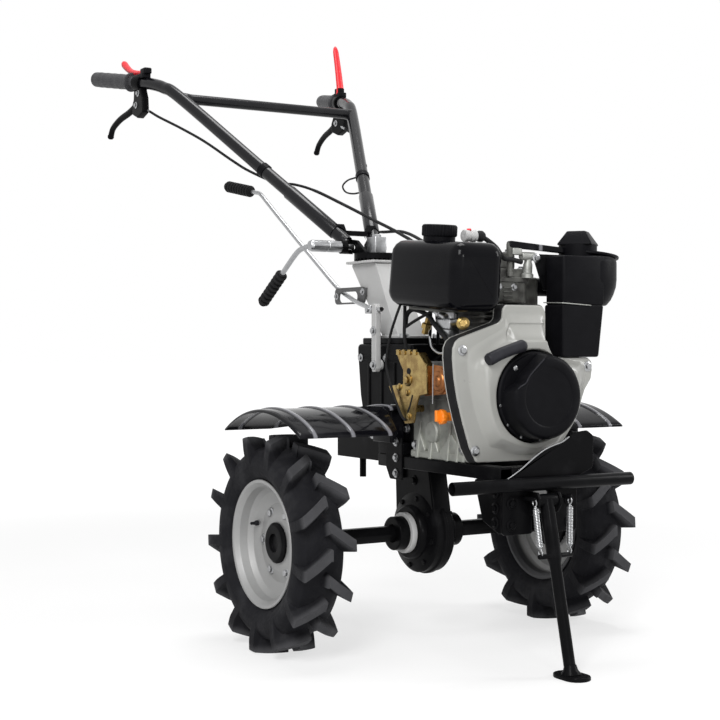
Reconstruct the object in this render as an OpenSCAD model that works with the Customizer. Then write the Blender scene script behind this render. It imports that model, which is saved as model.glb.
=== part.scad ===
// Walk-behind diesel power tiller on two lugged wheels and a folding front stand.
// Millimetres, +Z up, front of the machine towards -Y, left of the operator towards +X.

/* [Wheels] */
// Outside diameter of a tyre over its lugs
tyre_od = 465; // [440:1:480]
// Section width of a tyre
tyre_width = 112; // [104:1:118]
// Distance between the middles of the two tyres
track = 749; // [730:1:780]
// Lugs on each half of the tread
lug_count = 13; // [11:1:15]
// Height of a lug over the tread
lug_height = 24; // [16:1:27]
// Width across the flats of the hexagonal axle
axle_flats = 34; // [28:1:36]

/* [Frame] */
// Length of the bumper tube
bumper_length = 456; // [400:1:520]
// Outside radius of the bumper tube
bumper_radius = 13.5; // [11:0.5:15]
// Wall of the bumper tube
bumper_wall = 2.5; // [1.5:0.5:4]
// Radius of the free hole in the hitch
hitch_hole_radius = 8.5; // [6:0.5:11]
// Length of the stand's foot
foot_length = 84; // [60:1:100]
// Width of the stand's foot
foot_width = 56; // [40:1:70]
// Radius of the stand's leg
leg_radius = 12; // [9:0.5:14]

/* [Fenders] */
// Length of a fender along the machine
fender_length = 346; // [320:1:370]
// Height of a fender's crown over its ends
fender_rise = 47; // [38:1:52]
// Thickness of the fender sheet
fender_sheet = 3; // [2:0.5:4]

/* [Engine] */
// Sideways place of the crankshaft
crank_x = 38; // [30:1:44]
// Radius of the recoil starter's cover
recoil_radius = 94; // [85:1:100]
// Depth of the recoil starter's cover
recoil_depth = 58; // [40:1:62]
// Width of the fuel tank
tank_width = 125; // [105:1:140]
// Length of the fuel tank
tank_length = 266; // [240:1:272]
// Height of the fuel tank
tank_height = 143; // [125:1:158]
// Radius of the fuel tank's cap
cap_radius = 37; // [30:1:40]
// Radius of the air cleaner's drum
cleaner_radius = 77; // [70:1:82]

/* [Handlebar] */
// Outside radius of the handlebar's arms
arm_radius = 16; // [13:0.5:18]
// Radius of the cross tube between the arms
cross_radius = 13.5; // [10:0.5:15]
// Radius of a hand grip
grip_radius = 21; // [19:0.5:24]
// Length of a hand grip
grip_length = 168; // [120:1:180]

/* [Clearances] */
// Gap between a piece and its seat
seat_gap = 0.3; // [0.2:0.05:0.5]
// Radial gap of the axles in their rings
axle_gap = 0.4; // [0.3:0.05:0.8]

/* [Hidden] */
$fn = 48;
axle_z = tyre_od / 2;
lift = axle_z - 232.5;
axle_y = 18;
pivot_y = -428;
pivot_z = 345;
foot_y = -510;
grip_start = [-318, 950, 1369];
grip_before = [-301, 886, 1357.5];
grip_way = unit(grip_start - grip_before);
grip_end = grip_start + grip_way * (grip_length + 18);
y_front = foot_y - foot_length / 2;
y_back = grip_end[1] + (grip_radius - 1) * sqrt(1 - grip_way[1] * grip_way[1]);
y_shift = -(y_front + y_back) / 2;
wheel_x = track / 2;
carcass = tyre_od / 2 - lug_height;
rim_radius = tyre_od * 127 / 465;
half_w = tyre_width / 2;
ring_in = 46;
ring_out = 86;
hex_r = axle_flats / 2 / cos(30);
crank_z = 551;
house_front = -333;
house_back = -294;
trim_back = -286;
tank_x0 = -33 - tank_width;
tank_z0 = 724;
tank_y0 = -332;
tank_tilt = 4.5;
swivel_y = 222;
lid_z = 674;
plate_z = 852;
disc_z = plate_z + 6 + seat_gap;
tilt_y = 290;
tilt_z = plate_z + 43;
rail_z = 412;
f_rise_r = (fender_length * fender_length / 4 + fender_rise * fender_rise) / (2 * fender_rise);
crown_z = 522;
bracket_y = 60;
bracket_top = crown_z - f_rise_r + sqrt(f_rise_r * f_rise_r - bracket_y * bracket_y) - fender_sheet / 2;

function unit(v) = v / norm(v);

// Puts the machine over the ground and its box's middle over the origin
module place() {
  translate([0, y_shift, lift])
    children();
}

// Round rod from p to q
module rod(p, q, r) {
  d = q - p;
  translate(p)
    rotate([0, acos(d[2] / norm(d)), atan2(d[1], d[0])])
      cylinder(r = r, h = norm(d));
}

// Cylinder along X from x0 to x1
module bar_x(x0, x1, y, z, r) {
  translate([x0, y, z])
    rotate([0, 90, 0])
      cylinder(r = r, h = x1 - x0);
}

// Cylinder along Y from y0 to y1
module bar_y(x, y0, y1, z, r) {
  translate([x, y0, z])
    rotate([-90, 0, 0])
      cylinder(r = r, h = y1 - y0);
}

// Block between two corners
module block(a, b) {
  translate(a)
    cube(b - a);
}

// Rectangle of w by h about its middle with round corners
module round_rect(w, h, r) {
  square([w - 2 * r, h], center = true);
  square([w, h - 2 * r], center = true);
  for (i = [-1, 1]) {
    for (j = [-1, 1]) {
      translate([i * (w / 2 - r), j * (h / 2 - r)])
        circle(r = r);
    }
  }
}

// Block with all its edges rounded by r
module soft_block(a, b, r) {
  c = (a + b) / 2;
  s = b - a;
  translate(c) {
    intersection() {
      linear_extrude(height = s[2], center = true)
        round_rect(s[0], s[1], r);
      rotate([90, 0, 0])
        linear_extrude(height = s[1], center = true)
          round_rect(s[0], s[2], r);
      rotate([90, 0, 90])
        linear_extrude(height = s[0], center = true)
          round_rect(s[1], s[2], r);
    }
  }
}

// Flat piece standing along the machine: its outline is in Y and Z
module side_plate(x0, x1, outline) {
  translate([x0, 0, 0])
    rotate([90, 0, 90])
      linear_extrude(height = x1 - x0)
        polygon(outline);
}

// Flat piece standing across the machine: its outline is in X and Z
module front_slab(y0, y1, outline) {
  translate([0, y1, 0])
    rotate([90, 0, 0])
      linear_extrude(height = y1 - y0)
        polygon(outline);
}

// Tube of radius r with n sides along the points of a path
module sweep(path, r, n) {
  m = len(path);
  function dir(i) = unit(path[min(i + 1, m - 1)] - path[max(i - 1, 0)]);
  function side_of(t) = unit(cross(t, abs(t[2]) > 0.9 ? [1, 0, 0] : [0, 0, 1]));
  pts = [for (i = [0 : m - 1]) let (t = dir(i), u = side_of(t), w = cross(t, u))
    for (k = [0 : n - 1]) path[i] + r * (cos(k * 360 / n) * u + sin(k * 360 / n) * w)];
  walls = [for (i = [0 : m - 2]) for (k = [0 : n - 1]) let (a = i * n + k, b = i * n + (k + 1) % n)
    [a, a + n, b + n, b]];
  caps = [[for (k = [0 : n - 1]) k], [for (k = [n - 1 : -1 : 0]) (m - 1) * n + k]];
  polyhedron(points = pts, faces = concat(walls, caps), convexity = 6);
}

// Smooth path through hand-chosen points
function bend(p, i, t) = 0.5 * (2 * p[i + 1] + (p[i + 2] - p[i]) * t
  + (2 * p[i] - 5 * p[i + 1] + 4 * p[i + 2] - p[i + 3]) * t * t
  + (3 * p[i + 1] - p[i] - 3 * p[i + 2] + p[i + 3]) * t * t * t);
function route(p, n) = concat([for (i = [0 : len(p) - 4]) for (k = [0 : n - 1]) bend(p, i, k / n)],
  [p[len(p) - 2]]);

function smooth(p, n) = route(concat([2 * p[0] - p[1]], p, [2 * p[len(p) - 1] - p[len(p) - 2]]), n);

function flip(p) = [for (q = p) [-q[0], q[1], q[2]]];

// One tyre about X at the origin
module tyre() {
  rb = rim_radius;
  h = carcass - rb;
  half = [[rb, -0.58], [rb + 0.12 * h, -0.66], [rb + 0.32 * h, -0.92], [rb + 0.54 * h, -1],
    [rb + 0.71 * h, -0.96], [rb + 0.89 * h, -0.76], [rb + 0.975 * h, -0.42], [carcass, 0]];
  outline = concat([for (p = half) [p[0], p[1] * half_w]],
    [for (i = [6 : -1 : 0]) [half[i][0], -half[i][1] * half_w]]);
  rotate([0, 90, 0])
    rotate_extrude($fn = 72)
      polygon(outline);
  intersection() {
    bar_x(-half_w - 6, half_w + 6, 0, 0, tyre_od / 2);
    for (i = [0 : lug_count - 1]) {
      rotate([i * 360 / lug_count, 0, 0])
        lug(1);
      rotate([(i + 0.5) * 360 / lug_count, 0, 0])
        lug(-1);
    }
  }
}

// One lug at the top of a tyre: its inner end trails and passes the middle of the tread
module lug(s) {
  w = half_w + 5;
  shape = [[-8, 20], [30, -4], [w, -26], [w, 0], [36, 18], [14, 41], [-8, 42]];
  translate([0, 0, carcass - 30])
    linear_extrude(height = lug_height + 40)
      polygon([for (p = (s > 0 ? shape : [for (i = [6 : -1 : 0]) shape[i]])) [s * p[0], p[1]]]);
}

// One rim about X at the origin, its dish towards +X
module rim() {
  rb = rim_radius;
  rotate([0, 90, 0])
    rotate_extrude($fn = 72)
      polygon([[rb + 11, 44], [rb + 11, 39], [rb, 39], [rb, -39], [rb + 11, -39], [rb + 11, -44],
        [rb + 4, -44], [rb - 4.5, -36], [rb - 4.5, -6], [rb - 14, 0], [86, -3], [62, 5], [40, 7], [40, 12],
        [62, 10.5], [86, 3], [rb - 14, 8], [rb - 6.5, 18], [rb - 4.5, 34], [rb + 4, 44]]);
}

// One axle with its hub about X, the wheel's middle at the origin, inner end towards -X
module axle() {
  bar_x(-6, 5 - seat_gap, 0, 0, 60);
  difference() {
    bar_x(-70, 13, 0, 0, 36);
    bar_x(-71, -6, 0, 0, 60);
    bar_x(6, 14, 0, 0, 20);
  }
  bar_x(-66, -6, 0, 0, 23);
  translate([-(wheel_x - ring_in - seat_gap), 0, 0])
    rotate([0, 90, 0])
      linear_extrude(height = wheel_x - ring_in - seat_gap - 6)
        circle(r = hex_r, $fn = 6);
}

module tyre_right() {
  color("#1c1c1d")
    translate([-wheel_x, y_shift + axle_y, axle_z])
      tyre();
}

module tyre_left() {
  color("#1c1c1d")
    translate([wheel_x, y_shift + axle_y, axle_z])
      tyre();
}

module rim_right() {
  color("#969694")
    translate([-wheel_x, y_shift + axle_y, axle_z])
      mirror([1, 0, 0])
        rim();
}

module rim_left() {
  color("#969694")
    translate([wheel_x, y_shift + axle_y, axle_z])
      rim();
}

module axle_right() {
  color("#151516")
    translate([-wheel_x, y_shift + axle_y, axle_z])
      mirror([1, 0, 0])
        axle();
}

module axle_left() {
  color("#151516")
    translate([wheel_x, y_shift + axle_y, axle_z])
      axle();
}

module axle_rings() {
  color("#a9a9a8")
    translate([0, y_shift + axle_y, axle_z])
      for (s = [-1, 1]) {
        difference() {
          union() {
            bar_x(min(s * ring_in, s * (ring_in + 14)), max(s * ring_in, s * (ring_in + 14)), 0, 0, 46);
            bar_x(min(s * ring_in, s * ring_out), max(s * ring_in, s * ring_out), 0, 0, 38);
          }
          bar_x(-ring_out - 1, ring_out + 1, 0, 0, hex_r + axle_gap);
        }
      }
}

module gear_case() {
  color("#161617")
    place() {
      side_plate(-24, 24, [[-34, 440], [104, 440], [104, 390], [axle_y + 82, 300], [axle_y + 80, 235],
        [axle_y - 80, 235], [axle_y - 76, 290], [-40, 380]]);
      bar_x(-24, 24, axle_y, 232.5, 92);
      bar_x(-ring_in, ring_in, axle_y, 232.5, 60);
      bar_x(-4, 4, axle_y, 232.5, 96);
      block([-95, -40, rail_z], [95, 62, 440]);
    }
}

module gear_box() {
  color("#161617")
    place() {
      side_plate(-74, 74, [[-46, 440], [150, 440], [178, 540], [190, 640], [190, 660], [-46, 660]]);
      block([-66, 0, 660], [66, 182, lid_z]);
      bar_y(crank_x, -62, -46, crank_z, 96);
      for (y = [30, 150]) {
        translate([-45, y, lid_z])
          cylinder(r = 11, h = 9);
        translate([45, y, lid_z])
          cylinder(r = 11, h = 9);
      }
    }
}

module handle_column() {
  color("#b2b2b1")
    place() {
      back_z = lid_z + 0.54 * (plate_z - lid_z);
      front_z = lid_z + 0.343 * (plate_z - lid_z);
      side = [[62, lid_z], [132, lid_z], [212, back_z], [278, plate_z], [166, plate_z], [104, front_z]];
      side_plate(-38, -33, side);
      side_plate(33, 38, side);
      side_plate(-33, 33, [[62, lid_z], [70, lid_z], [110, front_z], [172, plate_z], [166, plate_z],
        [104, front_z]]);
      block([-52, 160, plate_z], [52, 284, plate_z + 6]);
      translate([0, swivel_y, plate_z + 6])
        cylinder(r = 9, h = 40);
    }
}

module swivel_disc() {
  color("#171718")
    place()
      difference() {
        union() {
          translate([0, swivel_y, disc_z + 5])
            cylinder(r = 54, h = 13);
          for (i = [0 : 29]) {
            translate([0, swivel_y, disc_z])
              rotate([0, 0, i * 12])
                translate([43, -2.6, 0])
                  cube([11, 5.2, 6]);
          }
          translate([0, swivel_y, disc_z])
            cylinder(r = 42, h = 6);
          block([-24, swivel_y + 21, disc_z + 17], [24, tilt_y - 6, disc_z + 24]);
          for (s = [-1, 1]) {
            side_plate(s * 21 - 4, s * 21 + 4, [[swivel_y + 10, disc_z + 12], [tilt_y + 16, tilt_z - 12],
              [tilt_y + 18, tilt_z + 8], [tilt_y + 6, tilt_z + 19], [tilt_y - 14, tilt_z + 16],
              [swivel_y + 14, disc_z + 24]]);
          }
        }
        translate([0, swivel_y, 850])
          cylinder(r = 9 + seat_gap, h = 80);
        bar_x(-80, 80, tilt_y, tilt_z, 8 + seat_gap);
      }
}

module clamp_lever() {
  color("#b9bcbf")
    place() {
      rod([-26, tilt_y, tilt_z], [-60.3, tilt_y, tilt_z], 8);
      rod([-60.3, tilt_y, tilt_z], [-148, tilt_y, tilt_z], 14);
      sweep(smooth([[-136, tilt_y + 8, tilt_z], [-148, tilt_y + 40, tilt_z - 7],
        [-150, tilt_y + 70, tilt_z - 22], [-150, 420, 834]], 3), 6.5, 10);
      difference() {
        block([-16, swivel_y - 20, disc_z + 18.3], [16, swivel_y + 20, disc_z + 58]);
        block([-12, swivel_y - 16, disc_z + 10], [12, swivel_y + 16, disc_z + 54]);
      }
    }
}

module clamp_grip() {
  color("#18181a")
    place() {
      p = [-150, 420, 834];
      d = unit([0, 111, -73]);
      rod(p, p + d * 132, 10);
      for (i = [0 : 7]) {
        rod(p + d * (8 + i * 16), p + d * (16 + i * 16), 15);
      }
    }
}

module handle_base() {
  color("#151516")
    place()
      difference() {
        union() {
          bar_x(-60, -25.3, tilt_y, tilt_z, 17);
          bar_x(25.3, 60, tilt_y, tilt_z, 17);
          for (s = [-1, 1]) {
            side_plate(s * 45 - 12, s * 45 + 12, [[tilt_y - 4, tilt_z + 10], [tilt_y + 16, tilt_z - 2],
              [tilt_y + 50, tilt_z + 38], [tilt_y + 30, tilt_z + 58]]);
          }
          block([-46, tilt_y + 22, tilt_z + 30], [46, tilt_y + 34, tilt_z + 42]);
        }
        bar_x(-80, 80, tilt_y, tilt_z, 8 + seat_gap);
        for (s = [-1, 1]) {
          arm_sleeve(s, -0.1, 0.4, arm_radius + 2.5);
        }
      }
}

arm_low = [-48, 318, 925];
arm_high = [-262, 777, 1306];
arm_path = [arm_low, arm_low * 0.5 + arm_high * 0.5, arm_high, [-285, 836, 1341], grip_before,
  grip_before + grip_way * 22, grip_before + grip_way * 44, grip_start];

// The bent tube of one arm
module arm_tube(s) {
  sweep(smooth(s < 0 ? arm_path : flip(arm_path), 4), arm_radius, 16);
  arm_sleeve(s, 0.02, 0.3, arm_radius + 2.5);
}

// Straight sleeve around the lower, straight length of one arm
module arm_sleeve(s, from, to, r) {
  a = [-s * arm_low[0], arm_low[1], arm_low[2]];
  b = [-s * arm_high[0], arm_high[1], arm_high[2]];
  rod(a + (b - a) * from, a + (b - a) * to, r);
}

module arm_right() {
  color("#141415")
    place()
      arm_tube(-1);
}

module arm_left() {
  color("#141415")
    place()
      arm_tube(1);
}

module crossbar() {
  color("#141415")
    place()
      difference() {
        bar_x(-262, 262, 777, 1306, cross_radius);
        arm_sleeve(-1, 0.8, 1.2, arm_radius);
        arm_sleeve(1, 0.8, 1.2, arm_radius);
        block([-400, 700, 1200], [-262, 800, 1400]);
        block([262, 700, 1200], [400, 800, 1400]);
      }
}

module grips() {
  color("#101011")
    place()
      for (s = [-1, 1]) {
        a = [s * -grip_start[0], grip_start[1], grip_start[2]];
        d = [s * -grip_way[0], grip_way[1], grip_way[2]];
        rod(a, a + d * 20, arm_radius);
        rod(a + d * 18, a + d * 24, grip_radius + 5);
        rod(a + d * 20, a + d * (grip_length + 18), grip_radius - 1);
        for (i = [0 : 4]) {
          k = 30 + i * (grip_length - 20) / 5;
          rod(a + d * k, a + d * (k + (grip_length - 20) / 7), grip_radius);
        }
      }
}

module hand_levers() {
  color("#121213")
    place()
      for (s = [-1, 1]) {
        a = [-s * grip_before[0], grip_before[1], grip_before[2]];
        b = [-s * grip_start[0], grip_start[1], grip_start[2]];
        d = unit(b - a);
        difference() {
          rod(a + d * 34, a + d * 62, arm_radius + 6);
          rod(a, b, arm_radius + seat_gap);
        }
        block([s * 313 - 8, 916, 1304], [s * 313 + 8, 948, 1363 - arm_radius]);
        sweep(smooth([[s * 313, 938, 1318], [s * 315, 958, 1306], [s * 319, 995, 1293], [s * 325, 1044, 1281],
          [s * 330, 1085, 1262], [s * 331, 1102, 1240]], 3), 8, 10);
      }
}

grip_slope = grip_way[2] / grip_way[1];

// Height of the top of a lever's clamp ring, which slopes with the arm
function ring_top(y) = grip_before[2] + (y - grip_before[1]) * grip_slope
  + (arm_radius + 6 + seat_gap) * sqrt(1 + grip_slope * grip_slope);

module red_levers() {
  color("#e0252f")
    place() {
      low = ring_top(908) + 6.7;
      foot = ring_top(939);
      sweep(smooth([[-311, 908, low], [-313, 936, low + 28 * grip_slope], [-313, 1000, low + 25],
        [-313, 1062, low + 48]], 3), 6.5, 10);
      sweep(smooth([[313, 930, foot], [313, 931, foot + 22], [309, 936, foot + 77],
        [304, 944, foot + 142]], 3), 9, 10);
    }
}

cable_a = [[-296, 880, 1300], [-304, 905, 1318], [-294, 850, 1288], [-266, 765, 1250], [-232, 690, 1197],
  [-196, 610, 1130], [-170, 562, 1099], [-118, 515, 1068], [-90, 466, 1060], [-70, 400, 1040], [-50, 300, 1000],
  [-40, 180, 955], [-36, 60, 912], [-38, -16, 876], [-22, -40, 800], [-16, -34, 720], [-16, -30, 660.4],
  [-16, -30, 600]];
cable_b = [[296, 880, 1300], [304, 905, 1318], [292, 850, 1292], [262, 765, 1256], [228, 690, 1200],
  [180, 590, 1120], [150, 530, 1060], [150, 480, 990], [120, 420, 950], [90, 340, 940], [60, 200, 930],
  [20, 60, 900], [0, -20, 870], [2, -44, 800], [6, -34, 720], [6, -30, 660.4], [6, -30, 600]];

module cables() {
  color("#161617")
    place() {
      sweep(route(cable_a, 3), 4, 8);
      sweep(route(cable_b, 3), 4, 8);
    }
}

knob_start = [-75, 735, 1067];
knob_way = unit([-20, 145, 30]);

module gear_lever() {
  color("#b9bcbf")
    place()
      sweep(smooth([[-87, 60, 739], [-87, 76, 739], [-87, 92, 739], [-85, 110, 740], [-75, 150, 748],
        [-66, 190, 755], [-57, 230, 763], [-46, 265, 770], [-37, 300, 778], [-34, 335, 790], [-37, 372, 814],
        [-43, 420, 851], [-49, 470, 889], [-55, 520, 927], [-60, 570, 965], [-64.5, 618, 1001],
        [-67.5, 655, 1029], [-69.3, 682, 1049], knob_start - knob_way * 36, knob_start - knob_way * 18,
        knob_start], 2), 6, 10);
}

module gear_knob() {
  color("#18181a")
    place() {
      p = knob_start + knob_way * seat_gap;
      rod(p, p + knob_way * 120, 11);
      for (i = [0 : 6]) {
        rod(p + knob_way * (6 + i * 16), p + knob_way * (14 + i * 16), 15.5);
      }
    }
}

module shift_gate() {
  color("#3a3b3c")
    place() {
      translate([-48, 269.5, 776])
        rotate([90, 0, 90])
          linear_extrude(height = 5)
            difference() {
              round_rect(139, 40, 12);
              translate([7.5, -3])
                round_rect(90, 26, 12.9);
            }
      block([-43, 201, 774], [-38, 212, 794]);
      difference() {
        block([-94, 74, 596], [-80, 94, 752]);
        bar_y(-87, 60, 100, 739, 6 + 2 * seat_gap);
      }
      bar_x(-80, -74, 84, 612, 13);
    }
}

module crankcase() {
  color("#a3a5a3")
    place() {
      block([crank_x - 130, -270, rail_z], [crank_x + 112, -64, 428]);
      block([crank_x - 122, trim_back, 428], [crank_x + 104, -62, 622]);
      intersection() {
        bar_y(crank_x, trim_back, -62, crank_z, 118);
        block([-200, -300, 430], [300, -50, 621]);
      }
      for (y = [-250, -215, -150]) {
        block([crank_x - 134, y, rail_z], [crank_x - 121, y + 9, 498]);
      }
    }
}

module cylinder_head() {
  color("#9a9c9b")
    place() {
      block([-16, -228, 622], [84, -100, 745]);
      for (i = [0 : 6]) {
        block([-28, -242, 672 + i * 11], [96, -90, 677 + i * 11]);
      }
      block([-28, -242, 745], [96, -90, 822]);
      block([-12, -228, 822], [80, -104, 858]);
      tank_place()
        block([-122, 106, -6], [-20, 228, 0]);
    }
}

house = [[-94, 416], [-111, 447], [-128, 498], [-142, 548], [-150, 590], [-154, 632], [-153, 652],
  [-147, 665], [-136, 673], [-38, 704], [-29, 712], [-27, 733], [-20, 742], [72, 742], [80, 738], [84, 728],
  [84, 631], [200, 631], [212, 622], [213, 604], [210, 586], [202, 575], [193, 563], [186, 546], [178, 522],
  [170, 503], [155, 481], [138, 460], [128, 440], [122, 416]];
house_in = [for (p = house) [p[0] + (p[0] < 30 ? 7 : -7), p[1] + (p[1] < 500 ? 7 : -7)]];

module fan_housing() {
  color("#bcbcb2")
    place() {
      front_slab(house_front + 10, house_back, house);
      front_slab(house_front, house_front + 10, house_in);
      difference() {
        bar_y(crank_x, house_front - 5, house_front, crank_z, recoil_radius + 16);
        bar_y(crank_x, house_front - 6, house_front, crank_z, recoil_radius + 1);
        block([-200, house_front - 7, 632], [300, house_front + 1, 800]);
      }
      block([-14, house_front - 4, 690], [72, house_front, 722]);
    }
}

module fan_trim() {
  color("#18181a")
    place()
      translate([30, 0, 575])
        scale([1.022, 1, 1.012])
          translate([-30, 0, -575])
            front_slab(house_back, trim_back, house);
}

// Direction from the crankshaft to the rope's mouth, cut off the cover's dome
mouth_turn = 132;

module recoil_cover() {
  color("#161617")
    place()
      translate([crank_x, house_front, crank_z])
        rotate([90, 0, 0])
          difference() {
            rotate_extrude($fn = 72)
              polygon([[0, 0], [recoil_radius, 0], [recoil_radius, 9], [recoil_radius - 5, 12],
                [recoil_radius - 6.5, recoil_depth - 13], [recoil_radius - 8, recoil_depth - 5],
                [recoil_radius - 12, recoil_depth - 1], [recoil_radius - 17, recoil_depth], [62, recoil_depth],
                [60, recoil_depth - 1.5], [0, recoil_depth - 1.5]]);
            rotate([0, 0, mouth_turn])
              translate([0.72 * recoil_radius, -recoil_radius, 20])
                cube([recoil_radius, 2 * recoil_radius, recoil_depth]);
          }
}

module pull_handle() {
  y = house_front - 13.5 - seat_gap;
  color("#2b2b30")
    place()
      sweep(smooth([[-86, y, 627], [-54, y, 640], [-22, y, 650], [8, y, 658]], 3), 13.5, 12);
}

// Puts the tank and its bracket on the slope of the tank's bottom
module tank_place() {
  translate([0, tank_y0, tank_z0])
    rotate([tank_tilt, 0, 0])
      children();
}

module fuel_tank() {
  color("#141417")
    place()
      tank_place()
        soft_block([tank_x0, 0, 0], [-33, tank_length, tank_height], 30);
}

module tank_cap() {
  color("#1b1b1d")
    place()
      tank_place()
        translate([-38 - tank_width / 2, 152, tank_height]) {
          cylinder(r = cap_radius - 3, h = 10);
          translate([0, 0, 10])
            cylinder(r = cap_radius, h = 25);
        }
}

module air_cleaner() {
  color("#17171a")
    place() {
      r = cleaner_radius;
      cx = 162 + r;
      cy = -250;
      front_slab(-325, -262, [[126, 632], [226, 632], [240, 745], [126, 745]]);
      hull() {
        translate([cx - 13, cy, 744])
          cylinder(r = r - 13, h = 1);
        translate([cx - 4, cy, 768])
          cylinder(r = r - 4, h = 1);
        translate([cx, cy, 800])
          cylinder(r = r, h = 42);
        translate([cx, cy, 842])
          cylinder(r = r - 7, h = 9);
      }
      translate([cx + 0.33 * r, cy, 852])
        rotate([0, 7, 0])
          cylinder(r = 0.81 * r, h = 7);
      translate([cx - 10, cy, 845])
        cylinder(r = 42, h = 33);
      translate([cx - 10, cy, 877])
        rotate([0, 0, 83])
          cylinder(r1 = 54, r2 = 29, h = 31, $fn = 4);
      bar_x(96, 200, -190, 786, 20);
    }
}

module muffler() {
  color("#1a1a1b")
    place() {
      soft_block([20, -84, 700], [185, 12, 850], 20);
      bar_y(60, -90, -70, 780, 20);
      bar_y(150, 0, 30, 740, 14);
    }
}

module governor_plate() {
  color("#a08445")
    place() {
      side_plate(-122, -118, [[-54, 647], [-146, 642], [-177, 614], [-180, 554], [-147, 549], [-136, 528],
        [-126, 490], [-92, 487], [-79, 500], [-36, 553], [-26, 567], [-84, 573], [-84, 603], [-67, 625]]);
      side_plate(-112, -108, [[-150, 548], [-250, 556], [-258, 592], [-236, 612], [-190, 616], [-150, 604]]);
      bar_x(-118, crank_x - 122, -120, 600, 8);
      bar_x(-118, crank_x - 122, -112, 520, 8);
      bar_x(-110, crank_x - 122, -225, 584, 8);
    }
}

module dipstick() {
  color("#f5842a")
    place() {
      bar_x(-118, crank_x - 122 - seat_gap, -238, 508, 9);
      bar_x(-132, -118, -238, 508, 15);
      block([-142, -242, 498], [-130, -234, 522]);
    }
}

module frame_rails() {
  color("#141415")
    place() {
      for (s = [-1, 1]) {
        difference() {
          block([s * 80 - 15, -400, 384], [s * 80 + 15, 62, rail_z]);
          block([s * 76 - 15, -401, 389], [s * 76 + 15, 63, rail_z - 5]);
        }
      }
      block([-65, -290, 384], [65, -220, 392]);
      block([-65, -400, 384], [65, -360, rail_z]);
    }
}

module front_plate() {
  color("#131314")
    place() {
      front_slab(-409 - seat_gap, -403, [[-95, 276], [-21, 276], [-21, 362], [21, 362], [21, 276], [95, 276],
        [95, 384], [-95, 384]]);
      side_plate(-95, -89, [[-403, 276], [-340, 300], [-310, 384], [-403, 384]]);
      side_plate(89, 95, [[-403, 276], [-340, 300], [-310, 384], [-403, 384]]);
      front_slab(-406, -400, [[-95, 384], [-83, 386], [-40, 412], [15, 446], [60, 459], [95, 478], [150, 482],
        [166, 470], [166, 404], [95, 384]]);
    }
}

module bumper_bar() {
  color("#131314")
    place()
      difference() {
        bar_x(-bumper_length / 2, bumper_length / 2, -409 - 2 * seat_gap - bumper_radius, 378, bumper_radius);
        bar_x(-bumper_length, bumper_length, -409 - 2 * seat_gap - bumper_radius, 378,
          bumper_radius - bumper_wall);
      }
}

module stand_bracket() {
  color("#131314")
    place() {
      for (s = [-1, 1]) {
        side_plate(s * 27 - 3, s * 27 + 3, [[-409 - seat_gap, 312], [-409 - seat_gap, 362], [-436, 362],
          [-443, 350], [-443, 338], [-432, 320]]);
        bar_y(s * 46, -452, -409 - seat_gap, 350, 4);
      }
      bar_x(-34, 34, pivot_y, pivot_z, 6);
    }
}

module stand_leg() {
  color("#131314")
    translate([0, y_shift, 0])
      difference() {
        union() {
          bar_x(-23, 23, pivot_y, pivot_z + lift, 13);
          rod([0, pivot_y, pivot_z + lift], [0, foot_y + 3, 6], leg_radius);
          rod([0, pivot_y, pivot_z + lift], [0, -460, 222 + lift], leg_radius + 3);
          bar_x(-42, 42, -458, 236 + lift, 5);
          block([-foot_width / 2, foot_y - foot_length / 2, 0], [foot_width / 2, foot_y + foot_length / 2, 8]);
        }
        bar_x(-60, 60, pivot_y, pivot_z + lift, 6 + seat_gap);
      }
}

module stand_springs() {
  color("#b4b6b8")
    place()
      for (s = [-1, 1]) {
        rod([s * 45, -448, 345], [s * 36.5, -457, 242], 7);
      }
}

// The sheet of the right fender: an arched strip cut to its outline from above
module fender() {
  cz = crown_z - f_rise_r;
  plan = [[-wheel_x - 53, -fender_length / 2], [-wheel_x + 60, -fender_length / 2], [-190, -58], [-140, -38],
    [-76, -28], [-76, 100], [-130, 140], [-wheel_x + 60, fender_length / 2], [-wheel_x - 53, fender_length / 2]];
  intersection() {
    translate([0, 0, 400])
      linear_extrude(height = 300)
        polygon(plan);
    union() {
      difference() {
        bar_x(-wheel_x - 60, -60, 0, cz, f_rise_r);
        bar_x(-wheel_x - 61, -59, 0, cz, f_rise_r - fender_sheet);
      }
      for (i = [0 : 3]) {
        difference() {
          bar_x(-wheel_x - 20 + i * 90, -wheel_x - 12 + i * 90, 0, cz, f_rise_r + 3);
          bar_x(-wheel_x - 21 + i * 90, -wheel_x - 11 + i * 90, 0, cz, f_rise_r - 1);
        }
      }
    }
  }
}

module fender_right() {
  color("#161618")
    place() {
      fender();
      block([-112, -20, 440], [-76, bracket_y, bracket_top]);
    }
}

module fender_left() {
  color("#161618")
    place()
      mirror([1, 0, 0]) {
        fender();
        block([-112, -20, 440], [-76, bracket_y, bracket_top]);
      }
}

module hitch() {
  color("#151516")
    place()
      difference() {
        union() {
          block([-28, 104, 384], [28, 360, 439]);
          side_plate(-34, -24, [[62.3, 352], [112, 384], [150, 384], [150, 438], [62.3, 438]]);
          side_plate(24, 34, [[62.3, 352], [112, 384], [150, 384], [150, 438], [62.3, 438]]);
          translate([0, 285, 336])
            cylinder(r = 8, h = 110);
          translate([0, 285, 439])
            cylinder(r = 13, h = 8);
        }
        block([-20, 305, 394], [20, 400, 429]);
        translate([0, 336, 300])
          cylinder(r = hitch_hole_radius, h = 200);
      }
}

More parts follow.
